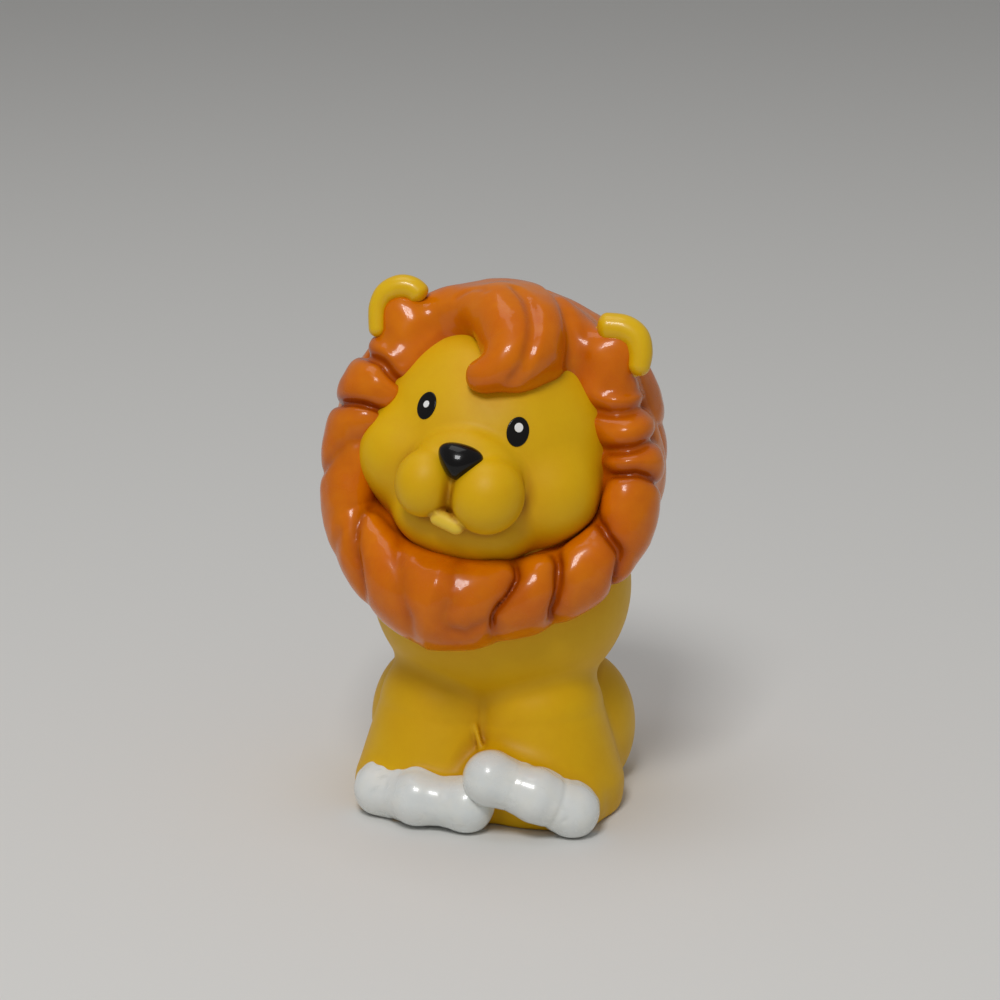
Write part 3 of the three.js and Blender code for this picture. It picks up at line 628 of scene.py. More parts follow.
@dataclass(frozen=True)
class Finish:
    """A vinyl or paint surface.

    Attributes:
        name: The material's name.
        slot: The record's slot that it belongs to. It is not used.
        colour: Its main colour, as screen values.
        second: The colour that it drifts to.
        crease: Its colour in creases, a painted shade.
        ridge: Its colour where it is thin.
        roughness: The range of its roughness.
        coat: The strength of its gloss coat.
        waves: The height of its slow waves.
        grain: The share of fine grain in its height.
        depth: The height of both, in metres.
        glow: How much light passes through its skin.
        shine: The strength of its plain reflections.
        shade_and_wear: How strong its painted shade in creases and its thinner ridges show.
        flecks: How many specks and scuffs it has.
        dirt: The colour of those.
        patch: An attribute that marks a patch of another colour.
        patch_colour: That colour.
    """

    name: str
    slot: Slot
    colour: tuple[int, int, int]
    second: tuple[int, int, int]
    crease: tuple[int, int, int]
    ridge: tuple[int, int, int]
    roughness: tuple[float, float] = (0.42, 0.5)
    coat: float = 0.0
    waves: float = 160.0
    grain: float = 0.15
    depth: float = 0.00004
    glow: float = 0.0
    shine: float = 0.5
    shade_and_wear: tuple[float, float] = (0.7, 0.3)
    flecks: float = 0.15
    dirt: tuple[int, int, int] = (110, 96, 70)
    patch: str = ""
    patch_colour: tuple[int, int, int] = (0, 0, 0)

    def make(self, effects: Effects) -> bpy.types.Material:
        """Builds the material.

        Args:
            effects: The shared node groups.

        Returns:
            The material.
        """
        material = bpy.data.materials.new(self.name)
        material.use_nodes = True
        material.node_tree.nodes.clear()
        wiring = Wiring(material.node_tree)
        colours = {"Colour": linear(*self.colour), "Second": linear(*self.second)}
        mottle = wiring.add(GROUP, colours, node_tree=effects.mottle)
        base = mottle.outputs["Colour"]
        if self.patch:
            share = wiring.add("ShaderNodeAttribute", attribute_name=self.patch).outputs["Fac"]
            base = wiring.mix(share, base, linear(*self.patch_colour))
        # Painted shade darkens the creases here, and thinner ridges lighten.
        edges = {
            "Colour": base,
            "Crease Colour": linear(*self.crease),
            "Ridge Colour": linear(*self.ridge),
            "Crease": self.shade_and_wear[0],
            "Ridge": self.shade_and_wear[1],
        }
        shaded_and_worn = wiring.add(GROUP, edges, node_tree=effects.shade_and_wear)
        flecks = wiring.add(GROUP, {"Amount": self.flecks}, node_tree=effects.flecks)
        marks = wiring.maths("MAXIMUM", flecks.outputs["Specks"], flecks.outputs["Scuffs"])
        colour = wiring.mix(marks, shaded_and_worn.outputs["Colour"], linear(*self.dirt))
        rough = wiring.spread(mottle.outputs["Cloud"], 0, 1, *self.roughness)
        rough = wiring.maths("MULTIPLY_ADD", flecks.outputs["Scuffs"], 0.3, rough)
        grained = {"Wave Scale": self.waves, "Grain": self.grain}
        height = wiring.add(GROUP, grained, node_tree=effects.grain)
        bump = wiring.add("ShaderNodeBump", {"Distance": self.depth, "Height": height.outputs[0]})
        inputs = {"Base Color": colour, "Roughness": rough, "Normal": bump.outputs[0], "IOR": 1.5}
        inputs |= {"Specular IOR Level": self.shine, "Coat Weight": self.coat, "Coat Roughness": 0.06}
        inputs |= {"Subsurface Weight": self.glow, "Subsurface Scale": 0.0016}
        inputs |= {"Subsurface Radius": (1.0, 0.55, 0.12)}
        skin = wiring.add("ShaderNodeBsdfPrincipled", inputs)
        wiring.add("ShaderNodeOutputMaterial", {"Surface": skin.outputs[0]})
        return material


# In each finish, the colour in creases is painted shade.
VINYL = Finish(
    name="yellow_vinyl",
    slot=Slot.VINYL,
    colour=(226, 178, 6),
    second=(221, 170, 3),
    crease=(160, 98, 0),
    ridge=(232, 190, 24),
    roughness=(0.42, 0.52),
    glow=0.06,
    shine=0.25,
    shade_and_wear=(0.85, 0.3),
    flecks=0.0,
    patch="lip",
    patch_colour=(240, 205, 70),
)
MANE_PAINT = Finish(
    name="orange_mane_paint",
    slot=Slot.MANE,
    colour=(221, 121, 0),
    second=(210, 104, 0),
    crease=(158, 62, 0),
    ridge=(232, 152, 20),
    roughness=(0.2, 0.3),
    coat=0.3,
    shine=0.15,
    waves=230.0,
    grain=0.05,
    depth=0.00009,
    shade_and_wear=(0.85, 0.5),
)
EAR_PAINT = Finish(
    name="yellow_ear_paint",
    slot=Slot.EAR,
    colour=(232, 188, 14),
    second=(226, 178, 6),
    crease=(180, 110, 8),
    ridge=(238, 204, 70),
    roughness=(0.28, 0.38),
    coat=0.2,
    glow=0.06,
    shine=0.3,
    flecks=0.02,
    shade_and_wear=(0.7, 0.4),
)
WHITE_PAINT = Finish(
    name="white_toe_paint",
    slot=Slot.WHITE,
    colour=(236, 238, 235),
    second=(224, 229, 228),
    crease=(198, 190, 158),
    ridge=(240, 238, 224),
    roughness=(0.2, 0.32),
    coat=0.4,
    waves=260.0,
    grain=0.08,
    depth=0.00008,
    shade_and_wear=(0.55, 0.3),
    flecks=0.6,
    dirt=(150, 156, 146),
)
BLACK_PAINT = Finish(
    name="black_face_paint",
    slot=Slot.BLACK,
    colour=(17, 14, 14),
    second=(10, 9, 9),
    crease=(6, 5, 5),
    ridge=(26, 22, 20),
    roughness=(0.2, 0.28),
    coat=0.35,
    shine=0.12,
    waves=300.0,
    grain=0.05,
    depth=0.00005,
    flecks=0.05,
    dirt=(70, 64, 58),
)
# The eyes' white dots are painted highlights.
PAINTED_GLINT = Finish(
    name="white_painted_glint",
    slot=Slot.WHITE,
    colour=(240, 240, 238),
    second=(232, 233, 232),
    crease=(200, 200, 196),
    ridge=(244, 244, 242),
    roughness=(0.2, 0.3),
    coat=0.4,
    flecks=0.0,
)
PLUG_VINYL = Finish(
    name="yellow_plug_vinyl",
    slot=Slot.PLUG,
    colour=(216, 168, 24),
    second=(208, 158, 18),
    crease=(150, 104, 20),
    ridge=(224, 182, 52),
    roughness=(0.42, 0.55),
    waves=120.0,
    grain=0.3,
    flecks=0.5,
)


class Paintbox:
    """Makes each finish once and puts it on pieces."""

    def __init__(self) -> None:
        """Builds the shared effects."""
        self.effects = Effects()
        self.made: dict[str, bpy.types.Material] = {}

    def material(self, finish: Finish) -> bpy.types.Material:
        """Gives a finish's material."""
        if finish.name not in self.made:
            self.made[finish.name] = finish.make(self.effects)
        return self.made[finish.name]

    def dress(self, piece: bpy.types.Object, finish: Finish, *nodes: str) -> None:
        """Puts a finish on a piece, and fits the piece into the frame.

        Args:
            piece: The piece.
            finish: Its finish.
            *nodes: The frame's nodes that it stands for.
        """
        piece.data.materials.clear()
        piece.data.materials.append(self.material(finish))
        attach(piece, BODY)
        if nodes:
            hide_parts(*nodes)
        stood = ", ".join(nodes) or "nothing"
        LOG.info("%s: %d faces, stands for %s", piece.name, len(piece.data.polygons), stood)


# The head's own frame


@dataclass(frozen=True)
class HeadFrame:
    """Where the head stands and how it tilts.

    Attributes:
        middle: The head's middle in the figure's frame.
        roll: Degrees that it tilts to the right.
        yaw: Degrees that it turns to the left.
        pitch: Degrees that its chin is up, as a negative.
    """

    middle: Triple = (-0.2, -1.0, 46.0)
    roll: float = 11.7
    yaw: float = -4.0
    pitch: float = -18.0

    def matrix(self) -> Matrix:
        """Gives the way from the head's frame to the figure's, in millimetres."""
        turn = Matrix.Rotation(math.radians(self.roll), 4, "Y")
        turn @= Matrix.Rotation(math.radians(self.yaw), 4, "Z")
        turn @= Matrix.Rotation(math.radians(self.pitch), 4, "X")
        return Matrix.Translation(self.middle) @ turn

    def place(self, shape: Field) -> Field:
        """Moves a field from the head's frame to the figure's."""
        turn = np.array(self.matrix().to_3x3())
        middle = np.array(self.middle)
        return lambda points: shape((points - middle) @ turn)

    def to_metres(self) -> Matrix:
        """Gives the way from the head's frame in millimetres to the figure's in metres."""
        return Matrix.Scale(MM, 4) @ self.matrix()


HEAD = HeadFrame()


# Body


@dataclass(frozen=True)
class Toe:
    """A toe, by its place round the ankle.

    Attributes:
        side: The ankle's side.
        turn: Degrees from straight ahead towards the right.
        out: Its distance, as a share of the ankle's radius.
        up: Its height, as a share of a toe's height.
        size: Its size, as a share of a toe's.
    """

    side: int
    turn: float
    out: float
    up: float
    size: float


LEFT_TOES = (Toe(-1, -42, 0.9, 0.95, 0.98), Toe(-1, -5, 0.98, 1.07, 1.03), Toe(-1, 27, 1.17, 0.95, 1))
RIGHT_TOES = (Toe(1, -22, 1.25, 2.22, 1), Toe(1, 4, 1.14, 1.63, 1), Toe(1, 27, 1.1, 0.92, 1))


@dataclass
class Body:
    """The torso, legs, haunches and feet, with white paint on the toes.

    Attributes are sizes in millimetres.
    """

    chest: tuple[Triple, Triple] = ((0.7, 0.3, 28), (CHEST_HALF_WIDTH, 14.5, 16))
    hips: tuple[Triple, Triple] = ((0, 2.2, 2), (16.2, 13.6, 20))
    knee: tuple[Triple, float] = ((5.9, -3.2, 12.2), 8.6)
    ankle: tuple[Triple, float] = ((6.8, -4, 3), 10.5)
    haunch: tuple[Triple, Triple] = ((9.6, 6.5, 7), (7.9, 8.8, 10))
    toe: Triple = (3.2, 3.4, 3.4)
    foot_radius: float = 3.1
    foot_set: float = 2.7
    foot_drop: float = 0.5
    toe_bar: float = 0.93
    notch: tuple[float, float] = (0.3, 0.5)
    paint: float = 0.1
    paint_reach: float = 0.3
    plug_hole: float = 9.5
    plug_depth: float = 1.8
    rim_round: float = 0.7
    waist_blend: float = 2.0
    leg_blend: float = 0.8
    haunch_blend: float = 0.6
    toe_blend: float = 0.8
    seam: tuple[Triple, Triple, float] = ((-0.5, -11.4, 12.4), (-0.4, -12.2, 11.0), 0.32)

    def toe_place(self, toe: Toe) -> Array:
        """Gives a toe's middle."""
        (spread, forward, _), radius = self.ankle
        angle, distance = math.radians(toe.turn), toe.out * radius
        across = toe.side * spread + math.sin(angle) * distance
        return np.array([across, forward - math.cos(angle) * distance, toe.up * self.toe[2]])

    def toes(self, toes: Sequence[Toe]) -> Field:
        """Gives the field of a paw's toes, fused by the bar behind them."""
        balls = [ellipsoid(self.toe_place(toe), np.multiply(self.toe, toe.size)) for toe in toes]
        places = [self.toe_place(toe) for toe in toes]
        bar = rod(places, [self.toe_bar * toe.size * self.toe[0] for toe in toes])
        return blend(self.toe_blend, bar, furrowed(2.4, *self.notch, *balls))

    def foot(self, toes: Sequence[Toe]) -> Field:
        """Gives the field of the foot behind a paw's toes."""
        places = [self.toe_place(toe) + (0, self.foot_set, -self.foot_drop) for toe in toes]
        return rod(places, [self.foot_radius] * len(toes))

    def torso(self) -> Field:
        """Gives the field of the torso, legs and feet."""
        (knee, knee_radius), (ankle, ankle_radius) = self.knee, self.ankle
        haunch, haunch_half = self.haunch
        legs, haunches = [], []
        for side in (-1, 1):
            joints = [np.multiply(place, (side, 1, 1)) for place in (knee, ankle)]
            legs.append(rod(joints, [knee_radius, ankle_radius]))
            haunches.append(ellipsoid(np.multiply(haunch, (side, 1, 1)), haunch_half))
        feet = [self.foot(LEFT_TOES), self.foot(RIGHT_TOES)]
        standing = blend(2.6, blend(self.leg_blend, ellipsoid(*self.hips), *legs), *feet)
        lower = blend(self.haunch_blend, standing, *haunches)
        return blend(self.waist_blend, ellipsoid(*self.chest), lower)

    def whole(self) -> Field:
        """Gives the field of the body with its toes, flat below."""
        seam = rod(settled(self.seam[:2], self.torso(), 1.0, 8), [self.seam[2]] * 2)
        paws = blend(0.25, self.toes(LEFT_TOES), self.toes(RIGHT_TOES))
        joined = blend(0.9, blend(0.5, self.torso(), seam), paws)
        return overlap_of(self.rim_round, joined, above(0))

    def build(self, paints: Paintbox) -> None:
        """Makes and dresses the body and its painted toes."""
        whole = self.whole()
        shell = overlap_of(0.15, whole, inverse(column(self.plug_hole, self.plug_depth)))
        body = Sculpt(shell, (-22, -22, -1), (22, 20, 46), 0.36).build("body")
        mark(body, "lip", lambda points: np.full(len(points), FAR), 1)
        paints.dress(body, VINYL, "body_shell")
        left, right = self.toes(LEFT_TOES), self.toes(RIGHT_TOES)
        edge = wavy(grown(right, self.paint_reach), 5.0, 0.2, 1.0)
        under = wavy(grown(left, self.paint_reach), 5.5, 0.2, 2.2)
        clear = overlap_of(0.2, under, inverse(grown(right, 0.1)))
        for name, toes, mask in (("paw_left", LEFT_TOES, clear), ("paw_right", RIGHT_TOES, edge)):
            coat = overlap_of(0.12, grown(whole, self.paint), mask, inverse(grown(whole, -0.5)))
            paw = Sculpt(coat, *self.paw_box(toes), 0.16).build(f"{name}_paint")
            paints.dress(paw, WHITE_PAINT, name)

    def paw_box(self, toes: Sequence[Toe]) -> tuple[Array, Array]:
        """Gives the corners of the space round a paw's toes."""
        places = np.array([self.toe_place(toe) for toe in toes])
        return places.min(axis=0) - 5, places.max(axis=0) + 5


# Head


def on_face(across: float, forward: float, up: float) -> Array:
    """Gives a place in the head from shares of the face's half sizes."""
    half_width, half_depth, half_height = FACE_HALF
    return np.array([across * half_width, -forward * half_depth, up * half_height])


@dataclass
class Head:
    """The vinyl face with its muzzle, and the painted nose and eyes.

    Attributes are sizes in millimetres, and places as shares of the face's half sizes. Each eye
    holds the values that build_eye takes.
    """

    cheek: tuple[Triple, float] = ((0.58, 0.43, -0.22), 6.3)
    muzzle: tuple[Triple, Triple] = ((0.0, 0.88, -0.26), (7.0, 4.6, 6.0))
    jaw: tuple[Triple, Triple] = ((0.0, 0.56, -0.64), (8.6, 5.4, 4.6))
    left_lobe: tuple[Triple, float, float] = ((-0.27, 1.05, -0.4), 3.75, 1.12)
    right_lobe: tuple[Triple, float, float] = ((0.215, 1.06, -0.375), 4.55, 1.04)
    lip: tuple[Triple, Triple, float] = ((-0.1, 1.08, -0.628), (0.052, 1.1, -0.656), 1.05)
    cheek_blend: float = 1.8
    muzzle_blend: float = 0.7
    lobe_blend: float = 0.8
    cleft: tuple[float, float] = (0.3, 1.2)
    nose: tuple[Triple, Triple] = ((-0.04, 1.2, -0.185), (2.55, 2.0, 2.2))
    nose_flare: float = 0.42
    nose_lean: float = 20.0
    eyes: tuple[tuple[str, float, float, float, float, float, float], ...] = (
        ("eye_left", -0.449, 0.172, 0.96, -8, 0.42, 0.12),
        ("eye_right", 0.299, 0.153, 1.0, -2, 0.54, 0.5),
    )
    eye: tuple[float, float] = (1.38, 1.86)
    eye_reach: float = 1.2
    eye_post: float = 3.0

    def lip_field(self) -> Field:
        """Gives the field of the lower lip."""
        return rod([on_face(*self.lip[0]), on_face(*self.lip[1])], [self.lip[2]] * 2)

    def shape(self) -> Field:
        """Gives the field of the face."""
        skull = ellipsoid((0, 0, 0), FACE_HALF)
        (across, forward, up), puff = self.cheek
        cheeks = [ellipsoid(on_face(side * across, forward, up), [puff] * 3) for side in (-1, 1)]
        jaw = ellipsoid(on_face(*self.jaw[0]), self.jaw[1])
        muzzle = ellipsoid(on_face(*self.muzzle[0]), self.muzzle[1])
        lobes = [
            ellipsoid(on_face(*place), (radius, radius, radius * tall))
            for place, radius, tall in (self.left_lobe, self.right_lobe)
        ]
        face = blend(self.cheek_blend, skull, *cheeks, jaw)
        joined = blend(self.lobe_blend, muzzle, *lobes)
        depth, width = self.cleft

        def dome(points: Array) -> Array:
            """Gives each point's distance from the muzzle, parted between its lobes."""
            first, second = (lobe(points) for lobe in lobes)
            near = np.clip(1.6 - np.minimum(first, second), 0, 1)
            return joined(points) + depth * near * np.exp(-(((first - second) / width) ** 2))

        return blend(0.3, blend(self.muzzle_blend, face, dome), self.lip_field())

    def build(self, paints: Paintbox) -> None:
        """Makes and dresses the face, the nose and the eyes."""
        shape = self.shape()
        placed = HEAD.place(shape)
        face = Sculpt(placed, (-20, -28, 24), (20, 18, 66), 0.34).build("face")
        mark(face, "lip", HEAD.place(grown(self.lip_field(), 0.12)), 0.35)
        paints.dress(face, VINYL, "head_shell")
        self.build_nose(paints)
        for eye in self.eyes:
            self.build_eye(paints, shape, *eye)

    def build_nose(self, paints: Paintbox) -> None:
        """Makes the nose, a rounded button that flares towards its top."""
        lean = math.radians(self.nose_lean)
        turn = np.array(Matrix.Rotation(lean, 3, "X"))
        middle, half = on_face(*self.nose[0]), np.array(self.nose[1])

        def distance(points: Array) -> Array:
            """Gives each point's distance from the nose."""
            local = (points - middle) @ turn.T
            flare = 1 + self.nose_flare * np.clip(local[:, 2] / half[2], -1.2, 1.2)
            scaled = np.abs(local / half)
            scaled[:, 0] /= np.maximum(flare, 0.3)
            near = (scaled**2.2).sum(axis=1) ** (1 / 2.2)
            return (near - 1) * half.min() * 0.8

        centre = np.array(HEAD.matrix() @ Vector(middle))
        made = Sculpt(HEAD.place(distance), centre - 5, centre + 5, 0.12).build("nose_paint")
        paints.dress(made, BLACK_PAINT, "nose")

    def build_eye(
        self,
        paints: Paintbox,
        shape: Field,
        name: str,
        across: float,
        up: float,
        size: float,
        tilt: float,
        glint: float,
        rise: float,
    ) -> None:
        """Makes a painted eye and the white dot on it, a painted highlight.

        Args:
            paints: The finishes.
            shape: The face's field.
            name: The frame's node.
            across: The eye's place, as a share of the face's half width.
            up: Its height, as a share of the face's half height.
            size: Its size, as a share of the larger eye's.
            tilt: Degrees that its top leans to the right.
            glint: The radius of the white dot, a painted highlight.
            rise: How far above the eye's middle the dot sits.
        """
        start = on_face(across, 0, up)
        distance = 2 * FACE_HALF[2]
        for _ in range(60):
            distance -= 0.75 * float(shape((start + (0, -distance, 0))[None])[0])
        spot = start + (0, -distance, 0)
        axes = np.eye(3) * self.eye_reach
        out = shape(spot + axes) - shape(spot - axes)
        out /= np.linalg.norm(out)
        side = np.cross((0, 0, 1), out)
        side /= np.linalg.norm(side)
        upward = np.cross(out, side)
        lean = math.radians(tilt)
        first = math.cos(lean) * side - math.sin(lean) * upward
        second = math.sin(lean) * side + math.cos(lean) * upward

        def oval(half_across: float, half_up: float, rise: float) -> Field:
            """Gives the field of an oval post through the face at the eye."""

            def distance_from(points: Array) -> Array:
                """Gives each point's distance from the post's wall."""
                offset = points - spot
                u, v = offset @ first / half_across, (offset @ second - rise) / half_up
                behind = -self.eye_post - offset @ out
                return np.maximum((np.hypot(u, v) - 1) * min(half_across, half_up), behind)

            return distance_from

        centre = np.array(HEAD.matrix() @ Vector(spot))
        wide, tall = self.eye[0] * size, self.eye[1] * size
        ink = overlap_of(0.1, grown(shape, 0.14), oval(wide, tall, 0), inverse(grown(shape, -0.35)))
        made = Sculpt(HEAD.place(ink), centre - 3, centre + 3, 0.08).build(f"{name}_paint")
        paints.dress(made, BLACK_PAINT, name)
        # The white dot is a painted highlight, drawn as a thin white coat on the eye.
        dot = oval(glint, 1.1 * glint, rise)
        white = overlap_of(0.05, grown(shape, 0.19), dot, inverse(grown(shape, -0.1)))
        made = Sculpt(HEAD.place(white), centre - 2, centre + 2, 0.05).build(f"{name}_glint")
        paints.dress(made, PAINTED_GLINT)


# Mane


@dataclass(frozen=True)
class Groove:
    """A groove between two locks of the mane's rim.

    Attributes:
        path: Its places, each a turn round the face in degrees, and how far round the rim's section it
            lies, from 0 at the face to 2 behind.
        depth: Its depth, as a share of a lock's height.
    """

    path: tuple[tuple[float, float], ...]
    depth: float = 1.0


GROOVES = (
    Groove(
        (
            (225.6, 0.08), (224.5, 0.33), (221.5, 0.44), (217, 0.53), (212, 0.61), (207, 0.68),
            (203, 0.8), (200, 0.97), (198, 1.35),
        ),
    ),
    Groove(
        (
            (208.5, 0.05), (202.5, 0.285), (197.8, 0.39), (192, 0.52), (188, 0.615), (185.3, 0.7),
            (183.5, 0.85), (183, 1.1), (184, 1.35),
        ),
        0.9,
    ),
    Groove(
        (
            (173.9, 0.25), (173.2, 0.37), (173.1, 0.47), (174.5, 0.56), (174.7, 0.63), (172.7, 0.706),
            (169.3, 0.743), (165.6, 0.714), (161.4, 0.671),
        ),
        0.85,
    ),
    Groove(
        (
            (149.2, 0.15), (148.9, 0.37), (150.1, 0.44), (154.7, 0.55), (159.6, 0.65), (160.9, 0.78),
            (161.5, 1), (162, 1.35),
        ),
        1.1,
    ),
    Groove(
        (
            (131, 0.12), (131.8, 0.36), (134, 0.48), (136.7, 0.59), (140.3, 0.72), (142.5, 0.81),
            (144, 1), (145, 1.35),
        ),
        1.25,
    ),
    Groove(
        (
            (108, 0.12), (109.4, 0.35), (111.5, 0.51), (113.7, 0.71), (118, 0.81), (120.5, 0.88),
            (123, 1.05), (124, 1.35),
        ),
        1.2,
    ),
    Groove(((111.8, 0.725), (112.6, 0.94), (113, 1.3)), 0.45),
    Groove(
        (
            (88.8, 0.12), (87.4, 0.43), (86.2, 0.62), (86.7, 0.8), (87.5, 0.91), (88.5, 1.1),
            (89, 1.35),
        ),
        1.15,
    ),
    Groove(
        (
            (77.1, 0.12), (77.7, 0.38), (77.1, 0.59), (74.9, 0.77), (73.3, 0.94), (72, 1.1), (71, 1.35),
        ),
        1.3,
    ),
    Groove(
        (
            (58, 0.1), (58.7, 0.257), (61.6, 0.437), (62.8, 0.62), (61.8, 0.82), (60, 1.1), (59, 1.4),
        ),
        1.3,
    ),
    Groove(((52, 0.52), (55.3, 0.684), (54.9, 1.04), (52.1, 1.28)), 0.7),
    Groove(
        (
            (266, 0.12), (264, 0.3), (260.4, 0.41), (256, 0.53), (250, 0.68), (246, 0.85), (245, 1.05),
            (244, 1.35),
        ),
        0.95,
    ),
    Groove(((250, 0.66), (243, 0.72), (236, 0.76), (229, 0.78), (222, 0.78)), 0.4),
    Groove(((222, 0.667), (219, 0.85), (217, 1.05), (216, 1.35)), 0.7),
    Groove(
        (
            (272, 0.1), (272.4, 0.26), (273.4, 0.43), (273, 0.58), (272, 0.71), (271, 0.9), (270, 1.1),
            (270, 1.35),
        ),
        1.2,
    ),
    Groove(
        (
            (290, 0.1), (291.3, 0.39), (293.4, 0.55), (292.5, 0.7), (292, 0.82), (292, 1), (292, 1.35),
        ),
        1.3,
    ),
    Groove(((296.2, 0.447), (299.3, 0.568), (301.3, 0.72), (303, 0.9), (304, 1.2)), 0.7),
)


@dataclass(frozen=True)
class Row:
    """A row of locks that comes down from the crown.

    Attributes:
        count: How many locks it has.
        turns: Where its first groove starts and ends, in degrees from straight back.
        start: How far down the row starts, from 0 at the crown to 2 below.
        end: How far down it ends.
        curl: How far its grooves swing to and fro, in degrees.
    """

    count: int
    turns: tuple[float, float]
    start: float
    end: float
    curl: float = 5.0


ROWS = (
    Row(9, (12, 24), 0.12, 0.74),
    Row(12, (-4, -14), 0.56, 1.12),
    Row(13, (4, 12), 0.94, 1.56),
)

# The forelock's roots, which melt into the mane, and its strands, which hook round over the brow:
# places as shares of the mane's radius, and a thickness as a share of a strand's
ROOTS = (
    (
        (-0.04, -0.1, 0.72, 1.6), (-0.03, 0.2, 0.74, 1.6), (0.03, 0.38, 0.67, 1.5),
        (0.09, 0.48, 0.57, 1.3), (0.12, 0.52, 0.46, 1.0),
    ),
    (
        (0.16, -0.1, 0.7, 1.4), (0.16, 0.15, 0.72, 1.4), (0.2, 0.32, 0.64, 1.2),
        (0.22, 0.42, 0.54, 1.0),
    ),
    (
        (-0.55, 0.1, 0.66, 0.8), (-0.35, 0.27, 0.74, 0.9), (-0.2, 0.38, 0.75, 1.0),
        (-0.08, 0.46, 0.66, 0.9), (-0.03, 0.5, 0.54, 0.7),
    ),
)
STRANDS = (
    (
        (-0.12, -0.1, 0.72, 1.0), (-0.115, 0.18, 0.78, 1.0), (-0.1, 0.4, 0.79, 1.02),
        (-0.031, 0.52, 0.721, 1.04), (0.032, 0.6, 0.622, 1.02), (0.049, 0.65, 0.521, 0.98),
        (0.022, 0.67, 0.435, 0.9), (-0.029, 0.67, 0.381, 0.84), (-0.057, 0.66, 0.369, 0.78),
    ),
    (
        (0.04, -0.1, 0.74, 0.8), (0.05, 0.15, 0.8, 0.8), (0.105, 0.32, 0.83, 0.8),
        (0.167, 0.46, 0.778, 0.78), (0.207, 0.54, 0.673, 0.76), (0.204, 0.585, 0.597, 0.74),
        (0.165, 0.62, 0.518, 0.66), (0.114, 0.635, 0.451, 0.56),
    ),
)


@dataclass(frozen=True)
class Fold:
    """A groove drawn on the forelock or beside it.

    Attributes:
        places: Its places, as shares of the mane's radius.
        depth: Its depth in millimetres.
        width: Half its width in millimetres.
    """

    places: tuple[Triple, ...]
    depth: float
    width: float


FOLDS = (
    Fold(
        (
            (-0.046, 0.44, 0.864), (0.037, 0.5, 0.812), (0.105, 0.56, 0.739), (0.141, 0.6, 0.661),
            (0.151, 0.64, 0.578), (0.141, 0.67, 0.501), (0.112, 0.69, 0.421),
        ),
        0.85,
        1.5,
    ),
    Fold(
        (
            (0.033, -0.08, 1.057), (0.09, 0.08, 1.021), (0.145, 0.2, 0.971), (0.203, 0.27, 0.881),
            (0.254, 0.31, 0.781), (0.29, 0.34, 0.685), (0.3, 0.38, 0.6),
        ),
        1.2,
        1.9,
    ),
    Fold(
        (
            (-0.345, 0.36, 0.774), (-0.306, 0.4, 0.815), (-0.26, 0.42, 0.836), (-0.193, 0.45, 0.831),
            (-0.148, 0.47, 0.811),
        ),
        0.3,
        0.9,
    ),
)


@dataclass(frozen=True)
class Ear:
    """An ear, by its place on the mane.

    Attributes:
        name: The frame's node.
        place: Its middle, as shares of the mane's radius.
        size: Its size, as a share of an ear's.
        rim: Its rim's path: places across and up, as shares of the mane's radius, and a radius in
            millimetres.
    """

    name: str
    place: Triple
    size: float
    rim: tuple[Triple, ...]


EARS = (
    Ear(
        "ear_left",
        (-0.7, -0.3, 0.635),
        1.0,
        (
            (-0.781, 0.452, 1.0), (-0.807, 0.536, 1.1), (-0.824, 0.629, 1.2), (-0.8, 0.714, 1.4),
            (-0.729, 0.769, 1.55), (-0.651, 0.776, 1.5), (-0.572, 0.736, 1.4),
        ),
    ),
    Ear(
        "ear_right",
        (0.6, -0.26, 0.74),
        1.12,
        (
            (0.452, 0.831, 1.8), (0.531, 0.848, 1.85), (0.614, 0.855, 1.85), (0.688, 0.826, 1.75),
            (0.732, 0.753, 1.6), (0.748, 0.673, 1.4), (0.752, 0.614, 1.25),
        ),
    ),
)


